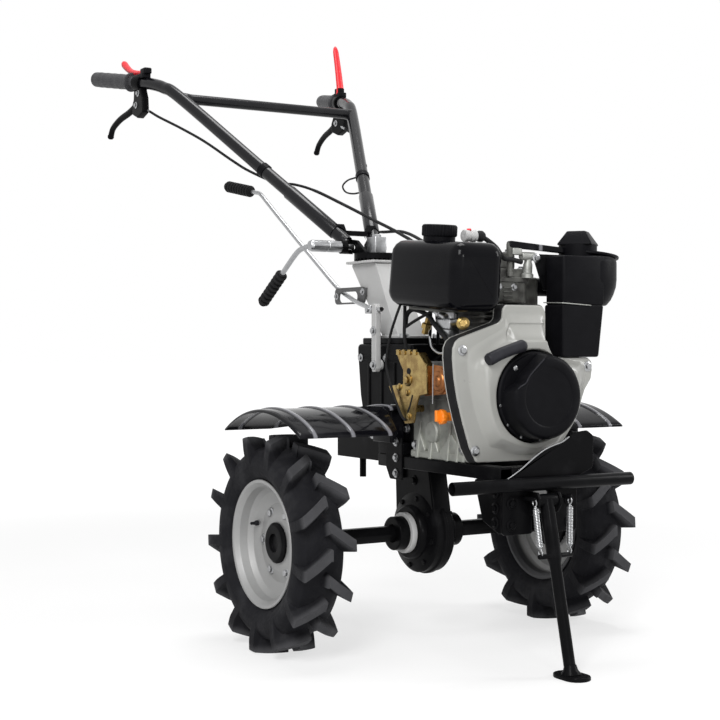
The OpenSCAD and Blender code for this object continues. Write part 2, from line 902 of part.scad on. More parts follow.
tyre_right();
tyre_left();
rim_right();
rim_left();
axle_right();
axle_left();
axle_rings();
gear_case();
gear_box();
handle_column();
swivel_disc();
clamp_lever();
clamp_grip();
handle_base();
arm_right();
arm_left();
crossbar();
grips();
hand_levers();
red_levers();
cables();
gear_lever();
gear_knob();
shift_gate();
crankcase();
cylinder_head();
fan_housing();
fan_trim();
recoil_cover();
pull_handle();
fuel_tank();
tank_cap();
air_cleaner();
muffler();
governor_plate();
dipstick();
frame_rails();
front_plate();
bumper_bar();
stand_bracket();
stand_leg();
stand_springs();
fender_right();
fender_left();
hitch();
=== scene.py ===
import bmesh
import bpy
import numpy as np
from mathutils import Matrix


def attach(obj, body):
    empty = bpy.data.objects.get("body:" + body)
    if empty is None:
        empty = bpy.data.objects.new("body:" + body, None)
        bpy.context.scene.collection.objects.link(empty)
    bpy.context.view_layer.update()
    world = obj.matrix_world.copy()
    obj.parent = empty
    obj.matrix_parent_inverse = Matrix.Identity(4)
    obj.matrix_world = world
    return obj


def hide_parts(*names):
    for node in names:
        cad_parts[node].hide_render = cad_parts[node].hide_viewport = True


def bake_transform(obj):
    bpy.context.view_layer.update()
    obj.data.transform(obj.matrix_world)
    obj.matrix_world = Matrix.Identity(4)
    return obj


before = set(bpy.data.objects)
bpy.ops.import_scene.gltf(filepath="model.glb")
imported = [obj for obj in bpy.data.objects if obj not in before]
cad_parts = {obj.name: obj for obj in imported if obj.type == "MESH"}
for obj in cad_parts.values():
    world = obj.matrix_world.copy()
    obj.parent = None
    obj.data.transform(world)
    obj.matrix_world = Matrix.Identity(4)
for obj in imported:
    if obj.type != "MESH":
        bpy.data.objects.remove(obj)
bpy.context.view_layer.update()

# Camera: a 72 mm lens at the height of the engine, a third of the way round to the machine's
# right, looking almost level. The picture is square.
lens = bpy.data.cameras.new("camera")
lens.lens = 72.06
lens.sensor_width = 36.0
camera = bpy.data.objects.new("camera", lens)
camera.location = (-1.826, -3.0136, 0.663)
camera.rotation_euler = np.radians([90 - 0.69, 0, -31.14])
bpy.context.collection.objects.link(camera)
bpy.context.scene.camera = camera
bpy.context.scene.view_settings.view_transform = "Standard"


# Studio: a pale floor that grows white with distance, a white surround, one large soft lamp high
# at the machine's right front, weaker ones at its left and in front and one overhead.
class Tone:
    """A value, colour or vector on its way through a node tree.

    + - * between tones and numbers add Math nodes; node() adds any other node."""

    def __init__(self, tree, socket):
        self.tree, self.socket = tree, socket

    def node(self, kind, settings, inputs, out=0):
        new = self.tree.nodes.new(kind)
        for key, value in settings.items():
            setattr(new, key, value)
        for key, value in inputs.items():
            if isinstance(value, Tone):
                self.tree.links.new(value.socket, new.inputs[key])
            else:
                new.inputs[key].default_value = value
        return Tone(self.tree, new.outputs[out])

    def math(self, operation, *values):
        return self.node("ShaderNodeMath", {"operation": operation}, dict(enumerate(values)))

    def __add__(self, other):
        return self.math("ADD", self, other)

    def __sub__(self, other):
        return self.math("SUBTRACT", self, other)

    def __mul__(self, other):
        return self.math("MULTIPLY", self, other)

    def __rsub__(self, other):
        return self.math("SUBTRACT", other, self)

    __radd__, __rmul__ = __add__, __mul__

    def above(self, low, high):
        """Rises smoothly from 0 at low to 1 at high."""
        return self.node("ShaderNodeMapRange", {"interpolation_type": "SMOOTHSTEP"}, {0: self, 1: low, 2: high})

    def mix(self, first, second):
        """The first colour where this value is 0, the second where it is 1."""
        return self.node("ShaderNodeMix", {"data_type": "RGBA"}, {0: self, 6: first, 7: second}, out=2)


def seen_white(tree):
    """1 for rays that look at the surround: straight, in a reflection or through glass."""
    path = tree.nodes.new("ShaderNodeLightPath")
    straight, mirror, through = (Tone(tree, path.outputs[key]) for key in
                                 ("Is Camera Ray", "Is Glossy Ray", "Is Transmission Ray"))
    return straight.math("MAXIMUM", straight, mirror.math("MAXIMUM", mirror, through))


world = bpy.data.worlds.new("studio")
world.use_nodes = True
bpy.context.scene.world = world
sky = world.node_tree.nodes["Background"]
look = seen_white(world.node_tree)
world.node_tree.links.new((0.19 + 0.81 * look).socket, sky.inputs["Strength"])
sky.inputs["Color"].default_value = (1, 1, 1, 1)

floor_mesh = bpy.data.meshes.new("floor")
floor_mesh.from_pydata([(-40, -40, 0), (40, -40, 0), (40, 40, 0), (-40, 40, 0)], [], [(0, 1, 2, 3)])
floor = bpy.data.objects.new("floor", floor_mesh)
bpy.context.collection.objects.link(floor)
pale = bpy.data.materials.new("pale floor")
pale.use_nodes = True
tree = pale.node_tree
tree.nodes.remove(tree.nodes["Principled BSDF"])
look = seen_white(tree)
card = look.node("ShaderNodeBsdfDiffuse", {}, {"Color": (0.86, 0.86, 0.86, 1)})
glow = look.node("ShaderNodeEmission", {}, {"Color": (1, 1, 1, 1), "Strength": 1.12})
spot = Tone(tree, tree.nodes.new("ShaderNodeTexCoord").outputs["Object"])
far = spot.node("ShaderNodeVectorMath", {"operation": "LENGTH"}, {0: spot}, out=1).above(1.3, 3.6)
shade = look.node("ShaderNodeMixShader", {}, {0: look * (0.6 + 0.4 * far), 1: card, 2: glow})
tree.links.new(shade.socket, tree.nodes["Material Output"].inputs["Surface"])
floor_mesh.materials.append(pale)

for name, place, turn, wide, tall, watts in (("key lamp", (-3.2, -3.4, 3.6), (52, 0, -43), 1.3, 2.8, 195),
                                             ("side lamp", (3.6, -2.2, 2.2), (65, 0, 58), 1.0, 1.8, 58),
                                             ("front lamp", (-1.6, -5.4, 1.4), (81, 0, -18), 0.6, 0.9, 32),
                                             ("top lamp", (0.3, 0.2, 4.2), (0, 0, 0), 1.6, 1.6, 80)):
    lamp = bpy.data.lights.new(name, "AREA")
    lamp.shape, lamp.size, lamp.size_y, lamp.energy = "RECTANGLE", wide, tall, watts
    holder = bpy.data.objects.new(name, lamp)
    holder.location, holder.rotation_euler = place, np.radians(turn)
    bpy.context.collection.objects.link(holder)

# Tyres: agricultural tyres of black rubber, 13 slanted lugs on each half of the tread.
# Each is moulded in one piece and seats on its rim by its two beads.
AXLE = np.array([0.0, -290.611, 0.0])  # the drawing's zero: the ground under the axle, in millimetres
WHEEL_X, WHEEL_Y, WHEEL_Z = 374.5, 18.0, 232.5
TYRE_R, LUGS = 232.5, 13


def patch(grid, around=True, ends=True, loop=False):
    """Skin of a grid of points: four-cornered faces between neighbours.

    around closes each row into a ring, loop joins the last row to the first, ends fills the two end rings."""
    rows, columns = grid.shape[:2]
    index = np.arange(rows * columns).reshape(rows, columns)
    if around:
        index = np.concatenate([index, index[:, :1]], axis=1)
    if loop:
        index = np.concatenate([index, index[:1]], axis=0)
    corners = [index[:-1, :-1], index[:-1, 1:], index[1:, 1:], index[1:, :-1]]
    faces = np.stack(corners, axis=-1).reshape(-1, 4).tolist()
    if ends and not loop:
        faces += [list(range(columns))[::-1], list(range((rows - 1) * columns, rows * columns))]
    return grid.reshape(-1, 3), faces


def piece(name, shells, paint, *instead, body="chassis", slot=None, sharp=42.0):
    """One object at the origin from shells of points in millimetres, with smooth faces between sharp edges.

    It rides on a body and stands instead of the nodes named."""
    start = np.cumsum([0] + [len(points) for points, _ in shells])
    points = (np.concatenate([points for points, _ in shells]) + AXLE) * 0.001
    faces = [[corner + first for corner in face] for first, (_, part) in zip(start, shells) for face in part]
    mesh = bpy.data.meshes.new(name)
    mesh.from_pydata(points, [], faces)
    whole = bmesh.new()
    whole.from_mesh(mesh)
    bmesh.ops.recalc_face_normals(whole, faces=whole.faces)
    whole.to_mesh(mesh)
    whole.free()
    mesh.polygons.foreach_set("use_smooth", np.ones(len(mesh.polygons), bool))
    mesh.set_sharp_from_angle(angle=np.radians(sharp))
    mesh.materials.append(paint)
    new = bpy.data.objects.new(name, mesh)
    bpy.context.collection.objects.link(new)
    if body:
        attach(new, body)
    if instead:
        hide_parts(*instead)
    return new


def finish(name, slot, **sockets):
    """New material: its Principled shader with fixed values set, and the piece's own coordinates as a Tone."""
    material = bpy.data.materials.new(name)
    material.use_nodes = True
    tree = material.node_tree
    shader = tree.nodes["Principled BSDF"]
    for key, value in sockets.items():
        shader.inputs[key.replace("_", " ")].default_value = value
    return material, Tone(tree, tree.nodes.new("ShaderNodeTexCoord").outputs["Object"])


def feed(material, **tones):
    """Links tones to the sockets of a material's Principled shader."""
    shader = material.node_tree.nodes["Principled BSDF"]
    for key, tone in tones.items():
        material.node_tree.links.new(tone.socket, shader.inputs[key.replace("_", " ")])


def grain(place, scale, detail=3.0):
    """Cloudy noise from 0 to 1, scale cells to the metre."""
    return place.node("ShaderNodeTexNoise", {}, {"Vector": place, "Scale": scale, "Detail": detail})


def relief(height, depth, strength=0.5):
    """Normal of a surface that rises by up to depth metres."""
    return height.node("ShaderNodeBump", {}, {"Strength": strength, "Distance": depth, "Height": height})


def coat(name, slot, cloud, first, second, rough, bumps, **sockets):
    """Finish whose colour drifts between two tones by a cloud of (scale, detail).

    rough is the least roughness, its spread and scale; bumps are scale, detail, depth and strength of the relief."""
    paint, place = finish(name, slot, **sockets)
    least, spread, scale = rough
    feed(paint, Base_Color=grain(place, *cloud).mix(first, second), Roughness=least + spread * grain(place, scale),
         Normal=relief(grain(place, *bumps[:2]), *bumps[2:]))
    return paint


rubber, place = finish("tyre rubber", "tyre_rubber", Specular_IOR_Level=0.12)
dust = grain(place, 14, 6).above(0.45, 0.8)
pores = grain(place, 900, 4)
# The tyre grows lighter towards its outer radius: partly wear on the tread, partly a painted highlight on the lug
# tops.
spoke = place.node("ShaderNodeVectorMath", {"operation": "MULTIPLY_ADD"},
                   {0: place, 1: (0, 1, 1), 2: (0, 0.2726, -0.2325)})
wear_and_highlight = spoke.node("ShaderNodeVectorMath", {"operation": "LENGTH"}, {0: spoke}, out=1).above(0.212, 0.231)
feed(rubber, Base_Color=(0.35 * dust + 0.65 * wear_and_highlight).mix((0.009, 0.009, 0.011, 1), (0.082, 0.082, 0.087, 1)),
     Roughness=0.62 + 0.22 * grain(place, 60), Normal=relief(pores + 2.5 * grain(place, 120), 0.0008, 0.45))


def tyre(side):
    """Surface of section angle against turn.

    The plain section and the section through a lug are two profiles with the same stations. A mask that is 1 on
    a lug and 0 beside it blends them; the grid leans with the lugs, so their flanks lie along its lines."""
    stations = np.array([0, 1, 2, 3, 4, 5, 6, 7.0])
    plain = np.array([(127, 32.5), (136.8, 37), (153, 51.5), (171, 56), (185, 53.8), (199.5, 42.6),
                      (206.5, 23.5), (208.5, 0)])
    lugged = np.array([(127, 32.5), (136.8, 37), (153, 51.5), (173, 57), (203, 61), (230.5, 59.5),
                       (TYRE_R, 34), (TYRE_R, 0)])
    fine = np.concatenate([np.linspace(0, 3, 18)[:-1], np.linspace(3, 4.6, 8)[:-1], np.linspace(4.6, 5.4, 9)[:-1],
                           np.linspace(5.4, 6.7, 8)[:-1], np.linspace(6.7, 7, 5)])
    half = [np.stack([np.interp(fine, stations, p[:, k]) for k in (0, 1)], axis=1) for p in (plain, lugged)]
    soft = np.array([0.25, 0.5, 0.25])
    inside = [np.stack([np.convolve(h[:, k], soft, "valid") for k in (0, 1)], axis=1) for h in half]
    half = [np.concatenate([h[:1], i, h[-1:]]) for h, i in zip(half, inside)]
    r = half[0][:, 0]
    half[0][:, 1] += 1.8 * np.exp(-((r - 146) / 1.8) ** 2) + 1.5 * np.exp(-((r - 164) / 1.5) ** 2)
    flip = [np.concatenate([h, h[-2::-1] * (1, -1)]) for h in half]
    x = flip[1][:, 1]
    lean = np.interp(np.abs(x), [0, 30, 61], [30.0, 8.0, -13.0])
    pitch, foot, flank = 2 * np.pi * TYRE_R / LUGS, 14.5, 2.9
    cross = np.array([-14.5, -14.0, -13.3, -12.4, -11.6, -10.5, 0, 10.5, 11.6, 12.4, 13.3, 14.0, 14.5,
                      19, 28.1, 37.2])
    along = (cross[None] + pitch / 2 * np.arange(2 * LUGS)[:, None]).ravel()
    near = (np.stack([along + pitch / 2, along])) % pitch - pitch / 2
    ramp = np.clip((foot - np.abs(near)) / flank, 0, 1)[:, None, :]
    end = np.clip((np.stack([x, -x]) + 9) / 6, 0, 1)[:, :, None]
    mask = (ramp * ramp * (3 - 2 * ramp) * end * end * (3 - 2 * end)).max(axis=0)
    section = flip[0][:, None, :] + mask[..., None] * (flip[1] - flip[0])[:, None, :]
    turn = -(along[None] + lean[:, None]) / TYRE_R
    return patch(np.stack([section[..., 1] + side * WHEEL_X, WHEEL_Y - section[..., 0] * np.sin(turn),
                           section[..., 0] * np.cos(turn) + WHEEL_Z], axis=-1), ends=False, loop=True)


for name, side in (("right", -1), ("left", 1)):
    piece("tyre." + name, [tyre(side)], rubber, "tyre_" + name, body="wheel_" + name, sharp=45)

# Rims: two pressed steel halves with a deep dish, sprayed matt silver-grey, with their inner side painted
# dark as shade; six bolts through the disc and a tyre valve near the edge of the dish.


def rounded(outline, radius, steps=4):
    """Closed outline with each corner replaced by an arc that touches both of its sides."""
    p = np.asarray(outline, float)
    back, ahead = np.roll(p, 1, axis=0) - p, np.roll(p, -1, axis=0) - p
    la, lb = np.linalg.norm(back, axis=1), np.linalg.norm(ahead, axis=1)
    a, b = back / la[:, None], ahead / lb[:, None]
    half = np.arccos(np.clip((a * b).sum(axis=1), -1, 1)) / 2
    wish = np.broadcast_to(radius, len(p)) / np.tan(np.maximum(half, 0.05))
    reach = np.minimum(wish, 0.48 * np.minimum(la, lb))[:, None]
    s = np.linspace(0, 1, steps + 1)[None, :, None]
    weight = np.sin(half)[:, None, None]
    first, mid, last = (p + a * reach)[:, None], p[:, None], (p + b * reach)[:, None]
    top = (1 - s) ** 2 * first + 2 * s * (1 - s) * weight * mid + s ** 2 * last
    return (top / ((1 - s) ** 2 + 2 * s * (1 - s) * weight + s ** 2)).reshape(-1, p.shape[1])


def turned(profile, centre, axis, count=64, loop=False):
    """Profile of radius against distance along an axis, turned about that axis through centre."""
    axis = np.asarray(axis, float) / np.linalg.norm(axis)
    u = np.cross(axis, (0.31, 0.2, 1.0) if abs(axis[2]) < 0.9 else (1.0, 0.2, 0.1))
    u /= np.linalg.norm(u)
    w = np.cross(axis, u)
    t = np.arange(count) * 2 * np.pi / count
    ring = np.cos(t)[:, None] * u + np.sin(t)[:, None] * w
    profile = np.asarray(profile, float)
    return patch(np.asarray(centre, float) + profile[:, :1, None] * ring[None] + profile[:, 1:, None] * axis,
                 loop=loop)


def collar(outline, edge, centre, axis, count, steps=4):
    """Closed outline of radius against distance, its corners rounded by edge, turned into a solid ring."""
    return turned(rounded(outline, edge, steps), centre, axis, count, loop=True)


def bolts(places, axis, across, washer=True):
    """Hexagon bolt heads with a chamfered top, each on a round washer."""
    shells = []
    for place in places:
        r, h = across / 2 / np.cos(np.pi / 6), across * 0.42
        seat = np.asarray(place) + 0.14 * across * np.asarray(axis, float)
        shells.append(turned([(r, 0), (r, h * 0.82), (r * 0.86, h)], seat, axis, 6))
        if washer:
            disc = [(across * 0.92, -0.2), (across * 0.92, across * 0.1), (across * 0.86, across * 0.15)]
            shells.append(turned(disc, place, axis, 20))
    return shells


silver, place = finish("silver rim paint", "silver_paint", Specular_IOR_Level=0.45)
mist = grain(place, 9, 5)
grit = grain(place, 420, 3).above(0.52, 0.75)
across = place.node("ShaderNodeSeparateXYZ", {}, {0: place})
# Towards the machine the rim turns dark: painted shade on its inner side.
outside_of_painted_shade = across.math("ABSOLUTE", across).above(0.350, 0.364)
sprayed = (0.55 * mist + 0.25 * grit).mix((0.37, 0.37, 0.367, 1), (0.25, 0.25, 0.248, 1))
feed(silver, Base_Color=outside_of_painted_shade.mix((0.040, 0.040, 0.043, 1), sprayed), Metallic=0.25 + 0.2 * mist,
     Roughness=0.42 + 0.16 * grain(place, 40), Normal=relief(grain(place, 700), 0.0004, 0.3))
zinc = coat("zinc plating", "zinc", (160, 4), (0.46, 0.465, 0.47, 1), (0.28, 0.285, 0.295, 1), (0.22, 0.2, 500),
            (700, 3.0, 0.0002, 0.12), Metallic=1.0)
DISH = rounded([(138, 44), (138, 39), (127, 39), (127, -39), (138, -39), (138, -44), (131, -44), (122.5, -36),
                (122.5, -8), (111, -3), (86, -9), (62, -4), (40, -2), (40, 3), (62, 1.5), (86, -3), (111, 4),
                (119, 15), (122.5, 33), (131, 44)], 4.5)
for name, side in (("right", -1), ("left", 1)):
    hub, out = np.array([side * WHEEL_X, WHEEL_Y, WHEEL_Z]), np.array([side, 0, 0])
    t = np.radians(np.arange(6) * 60)
    ring = hub + out * -0.8 + 70 * np.stack([0 * t, np.cos(t), np.sin(t)], axis=1)
    stem = hub + np.array([side * 6, 92, 33])
    piece("rim." + name, [turned(DISH, hub, out, 96, loop=True)], silver, "rim_" + name, body="wheel_" + name)
    piece("rim_bolts." + name, bolts(ring, out, 13), zinc, body="wheel_" + name)
    piece("tyre_valve." + name, [turned([(6, -3), (6, 2), (4, 4), (3.2, 10), (3.2, 14), (2, 15)], stem, out, 16)],
          rubber, body="wheel_" + name, slot="soft_rubber")

# Axles: black hexagon bars with a round hub flange behind each rim disc, a boss through the
# rim's middle and a sleeve with a cross bolt. On the gear case a ring closes round each of them,
# light grey on the right and painted black as shade on the left, with a black neck before it.
black, place = finish("black enamel", "black_paint", Specular_IOR_Level=0.035, Coat_Roughness=0.12)
haze = grain(place, 22, 5).above(0.5, 0.85)
feed(black, Base_Color=haze.mix((0.0038, 0.0038, 0.0043, 1), (0.012, 0.012, 0.013, 1)),
     Roughness=0.26 + 0.2 * grain(place, 30, 5), Coat_Weight=0.03 - 0.02 * haze,
     Normal=relief(grain(place, 260, 3), 0.0004, 0.25))
grey = coat("light grey paint", "grey_paint", (16, 5), (0.58, 0.58, 0.574, 1), (0.46, 0.46, 0.456, 1),
            (0.36, 0.16, 50), (300, 3.0, 0.0004, 0.25), Specular_IOR_Level=0.45)
for name, side in (("right", -1), ("left", 1)):
    hub, out = np.array([side * WHEEL_X, WHEEL_Y, WHEEL_Z]), np.array([side, 0, 0])
    hexagon = np.radians(np.arange(6) * 60)
    bar = np.stack([0 * hexagon, 19.6 * np.cos(hexagon), 19.6 * np.sin(hexagon)], axis=1)
    bar = rounded(bar, 1.6, 2)
    ends = np.array([-328.2, -327.4, -7.4])
    shrink = np.array([0.95, 1, 1])
    shaft = patch(hub + out * ends[:, None, None] + bar[None] * shrink[:, None, None])
    flange = collar([(0.5, -14), (60, -14), (60, -4.2), (39.4, -4.2), (39.4, 3.2), (44, 3.2), (44, 8), (38, 13),
                     (20, 13), (20, 6), (0.5, 6)], 1.2, hub, out, 64)
    sleeve = turned([(20, -66), (22, -66), (23, -65), (23, -8), (26, -6)], hub, out, 40)
    piece("axle." + name, [shaft, flange, sleeve], black, "axle_" + name, body="wheel_" + name)
    cross = [head for up in (1, -1) for head in bolts([hub + out * -40 + (0, 0, 22.5 * up)], (0, 0, up), 13)]
    piece("axle_bolt." + name, cross, zinc, body="wheel_" + name)
# The left ring is black as painted shade, the right one light grey.
for name, side, paint, instead in (("right", -1, grey, ["axle_rings"]), ("left", 1, black, [])):
    axle = (0, WHEEL_Y, WHEEL_Z), (side, 0, 0), 56
    ring = collar([(20.1, 46), (46, 46), (46, 59.5), (34, 60), (20.1, 60)], 1.6, *axle)
    neck = collar([(20.1, 59), (38, 59), (38, 84), (36, 86), (20.1, 86)], 1.6, *axle)
    piece("axle_ring." + name, [ring], paint, *instead)
    piece("axle_neck." + name, [neck], black)

# Gear case: a narrow cast housing for the final drive, round about the axle, with a bolted seam,
# in the same black enamel. It carries the frame rails on its top block, between two side plates
# with three zinc nuts each.


def slab(outline, low, high, along, edge=1.5, corner=0.0, steps=3):
    """Plate: a closed outline carried from low to high along axis x, y or z, its rims rounded by edge.

    Near each face the outline moves in by edge * (1 - sin a) while it rises by edge * (1 - cos a)."""
    p = rounded(outline, corner) if np.any(corner) else np.asarray(outline, float)
    way = np.roll(p, -1, axis=0) - p
    normal = np.stack([way[:, 1], -way[:, 0]], axis=1) / np.linalg.norm(way, axis=1)[:, None]
    normal *= np.sign((p[:, 0] * np.roll(p[:, 1], -1) - p[:, 1] * np.roll(p[:, 0], -1)).sum())
    before = np.roll(normal, 1, axis=0)
    mitre = (normal + before) / np.maximum(1 + (normal * before).sum(axis=1), 0.35)[:, None]
    a = np.linspace(0, np.pi / 2, steps + 1)
    inset = edge * (1 - np.sin(a))
    rise = edge * (1 - np.cos(a))
    inset = np.concatenate([[edge + 0.5], inset, inset[::-1], [edge + 0.5]])
    height = np.concatenate([[low], low + rise, high - rise[::-1], [high]])
    flat = p[None] - inset[:, None, None] * mitre[None]
    third = np.broadcast_to(height[:, None], flat.shape[:2])
    u, v = flat[..., 0], flat[..., 1]
    return patch(np.stack({"x": (third, u, v), "y": (u, third, v), "z": (u, v, third)}[along], axis=-1))


def box(low, high, edge=2.0, corner=3.0):
    """Block between two corner points with rounded edges."""
    (x0, y0, z0), (x1, y1, z1) = low, high
    return slab([(x0, y0), (x1, y0), (x1, y1), (x0, y1)], z0, z1, "z", edge, corner)


neck = [(-34, 440), (104, 440), (104, 390), (100, 300), (98, 235), (-62, 235), (-58, 290), (-40, 380)]
drive = [(0.5, -46), (57, -46), (60, -43), (62, -32), (86, -27), (92, -21), (92, -7), (96, -4), (96, 4), (92, 7),
         (92, 21), (86, 27), (62, 32), (60, 43), (57, 46), (0.5, 46)]
case = [slab(neck, -24, 24, "x", 5, 6), turned(drive, (0, WHEEL_Y, WHEEL_Z), (1, 0, 0), 72),
        box((-95, -40, 412), (95, 62, 440), 2.5, 4)]
case += [slab([(-42, 452), (24, 452), (24, 384), (8, 358), (-42, 358)], a, a + 4, "x", 1, 5) for a in (-98, 94)]
piece("gear_case.cast", case, black, "gear_case")
t = np.radians(np.arange(8) * 45 + 10)
seam = []
for side in (-1, 1):
    seam += bolts(np.stack([0 * t + side * 26.5, WHEEL_Y + 78 * np.cos(t), WHEEL_Z + 78 * np.sin(t)], axis=1),
                  (side, 0, 0), 11, False)
    seam += bolts([(side * 24, -22, 400), (side * 24, 60, 400), (side * 24, 20, 350)], (side, 0, 0), 13)
piece("gear_case.bolts", seam, black)
nuts = [nut for side in (-1, 1) for nut in bolts([(side * 98, -18, z) for z in (442, 407, 372)], (side, 0, 0), 11)]
piece("gear_case.nuts", nuts, zinc)

# Gear box: a cast box with a raised seam, a bolted lid with four bright caps and the clutch
# flange that the engine is bolted to.
LID_Z = 674
CRANK_X, CRANK_Z = 38, 551
sides = [(-46, 440), (150, 440), (178, 540), (190, 640), (190, 660), (-46, 660)]
flange = [(60, -46), (92, -46), (96, -50), (96, -59), (93, -62), (60, -62)]
body = [slab(sides, -74, 74, "x", 7, (6, 14, 40, 30, 10, 6)),
        slab([(-40, 622), (184, 622), (186, 634), (-40, 634)], -75.6, 75.6, "x", 2, 2),
        box((-66, 0, 659), (66, 182, LID_Z), 3, 8), turned(flange, (CRANK_X, 0, CRANK_Z), (0, 1, 0), 72)]
for y in (20, 75, 130):
    body.append(slab([(y, 455), (y + 9, 455), (y + 9, 618), (y, 618)], -77, 77, "x", 2, 2))
piece("gear_box.cast", body, black, "gear_box")
cap = [(0.5, 10), (9, 10), (11, 8), (11, 0), (13, 0), (13, -1)]
caps = [turned(cap, (x, y, LID_Z), (0, 0, 1), 24) for x in (-45, 45) for y in (30, 150)]
for side in (-1, 1):
    caps += bolts([(side * 75.6, y, 628) for y in (-30, 60, 170)], (side, 0, 0), 10)
    caps += bolts([(side * 74, -28, 470), (side * 74, 120, 452)], (side, 0, 0), 13)
piece("gear_box.caps", caps, zinc)

# Frame: two steel channels under the engine with cross pieces, a folded front plate with
# gussets, a raised guard plate whose rolled upper edge is a zinc rod, its brightness a painted highlight, and a
# round bumper tube across it.


def curve(points, steps=12):
    """Smooth path through points: a cubic on each span, whose slope at a point is half the step across it."""
    p = np.asarray(points, float)
    p = np.concatenate([[2 * p[0] - p[1]], p, [2 * p[-1] - p[-2]]])
    t = np.linspace(0, 1, steps, endpoint=False)[None, :, None]
    a, b, c, d = (p[k:len(p) - 3 + k, None] for k in range(4))
    span = 0.5 * (2 * b + (c - a) * t + (2 * a - 5 * b + 4 * c - d) * t ** 2 + (3 * b - a - 3 * c + d) * t ** 3)
    return np.concatenate([span.reshape(-1, p.shape[1]), p[-2:-1]])


def rod(path, radius, up=(0, 0, 1), count=12):
    """Bar along a path: a ring across the path at each point.

    radius is one number, one a point, or two a point where the bar is oval."""
    path = np.asarray(path, float)
    way = np.gradient(path, axis=0)
    way /= np.linalg.norm(way, axis=1)[:, None]
    side = np.cross(way, up)
    side /= np.linalg.norm(side, axis=1)[:, None]
    over = np.cross(way, side)
    t = np.arange(count) * 2 * np.pi / count
    radius = np.asarray(radius, float)
    radius = np.broadcast_to(radius if radius.ndim == 2 else radius[..., None], (len(path), 2))
    wide, tall = (radius[:, :1] * side)[:, None], (radius[:, 1:] * over)[:, None]
    return patch(path[:, None] + np.cos(t)[None, :, None] * wide + np.sin(t)[None, :, None] * tall)


rails = []
for side in (-1, 1):
    a, b, c = side * 65, side * 95, side * 91
    channel = [(a, 384), (b, 384), (b, 412), (a, 412), (a, 407), (c, 407), (c, 389), (a, 389)]
    rails.append(slab(channel, -400, 62, "y", 0.8, (1, 3, 3, 1, 1, 2, 2, 1)))
rails += [box((-66, -290, 384), (66, -220, 392)), box((-66, -400, 384), (66, -360, 411))]
piece("frame_rails.channel", rails, black, "frame_rails")
FACE_Y = -409.3  # front of the folded plate
apron = [(-95, 276), (-21, 276), (-21, 362), (21, 362), (21, 276), (95, 276), (95, 384), (-95, 384)]
guard = [(-95, 384), (-83, 386), (-40, 412), (15, 446), (60, 459), (95, 478), (126, 481), (142, 470), (142, 404),
         (95, 384)]
plate = [slab(apron, FACE_Y, -403, "y", 1.5, (8, 3, 6, 6, 3, 8, 4, 4)), slab(guard, -406, -400, "y", 1.5, 8)]
for side in (-1, 1):
    a, b = sorted((side * 89, side * 95))
    plate.append(slab([(-403, 276), (-340, 300), (-310, 384), (-403, 384)], a, b, "x", 1.5, 6))
piece("front_plate.folded", plate, black, "front_plate")
heads = []
for side in (-1, 1):
    heads += bolts([(side * 95, -385, z) for z in (300, 330, 362)], (side, 0, 0), 13)
    heads += bolts([(side * 74, FACE_Y, z) for z in (296, 340)], (0, -1, 0), 13)
    heads += bolts([(side * 80, y, 412) for y in (-252, -90)], (0, 0, 1), 14)
piece("frame.bolts", heads, black)
# A zinc rod along the guard's rolled top edge; its brightness is a painted highlight.
rim = rod(curve([(-83, -405, 387), (-62, -405, 398), (-40, -405, 411), (-12, -405, 430), (15, -405, 445),
                 (38, -405, 453), (60, -405, 459), (78, -405, 469)], 8), 1.6, (0, 1, 0), 10)
piece("front_plate.rim", [rim], zinc)
tube = collar([(11, -228), (13.5, -228), (13.5, 228), (11, 228)], 1.0, (0, -423.1, 378), (1, 0, 0), 40, steps=3)
piece("bumper_bar.tube", [tube], black, "bumper_bar")

# Front stand: a leg of round bar with a thicker upper end on a cross pin between two ears, a
# flat foot welded on, and two zinc-plated coil springs hooked from the ears to the leg.


def straight(first, last, profile, count=32):
    """Turned bar between two points: profile gives pairs of share of the length and radius."""
    first, last = np.asarray(first, float), np.asarray(last, float)
    length = np.linalg.norm(last - first)
    return turned([(r, s * length) for s, r in profile], first, last - first, count)


pivot, foot = np.array([0, -428, 345.0]), np.array([0, -507, 6.0])
leg = [straight(pivot, foot, [(0.0, 15), (0.34, 15), (0.36, 13), (0.37, 12), (1, 12)]),
       collar([(6.3, -23), (13, -23), (13, 23), (6.3, 23)], 1, pivot, (1, 0, 0), 32),
       turned([(4.2, -42), (5, -41), (5, 41), (4.2, 42)], (0, -458, 236), (1, 0, 0), 16),
       slab([(-28, -552), (28, -552), (28, -468), (-28, -468)], 0, 8, "z", 1.6, 27),
       turned([(12, 26), (15, 16), (21, 8.2), (21, 7)], (0, -507.5, 0), (0, 0.1, 1), 28)]
piece("stand_leg.bar", leg, black, "stand_leg", body="stand")
bracket = []
for side in (-1, 1):
    a, b = sorted((side * 24, side * 30))
    ear = [(FACE_Y, 312), (FACE_Y, 362), (-436, 362), (-443, 350), (-443, 338), (-432, 320)]
    bracket.append(slab(ear, a, b, "x", 1.2, 5))
    bracket.append(turned([(4, 0), (4, 40), (3, 42.7)], (side * 46, FACE_Y, 350), (0, -1, 0), 16))
bracket.append(turned([(5, -36), (6, -34), (6, 34), (5, 36)], pivot, (1, 0, 0), 20))
piece("stand_bracket.ears", bracket, black, "stand_bracket")
springs = []
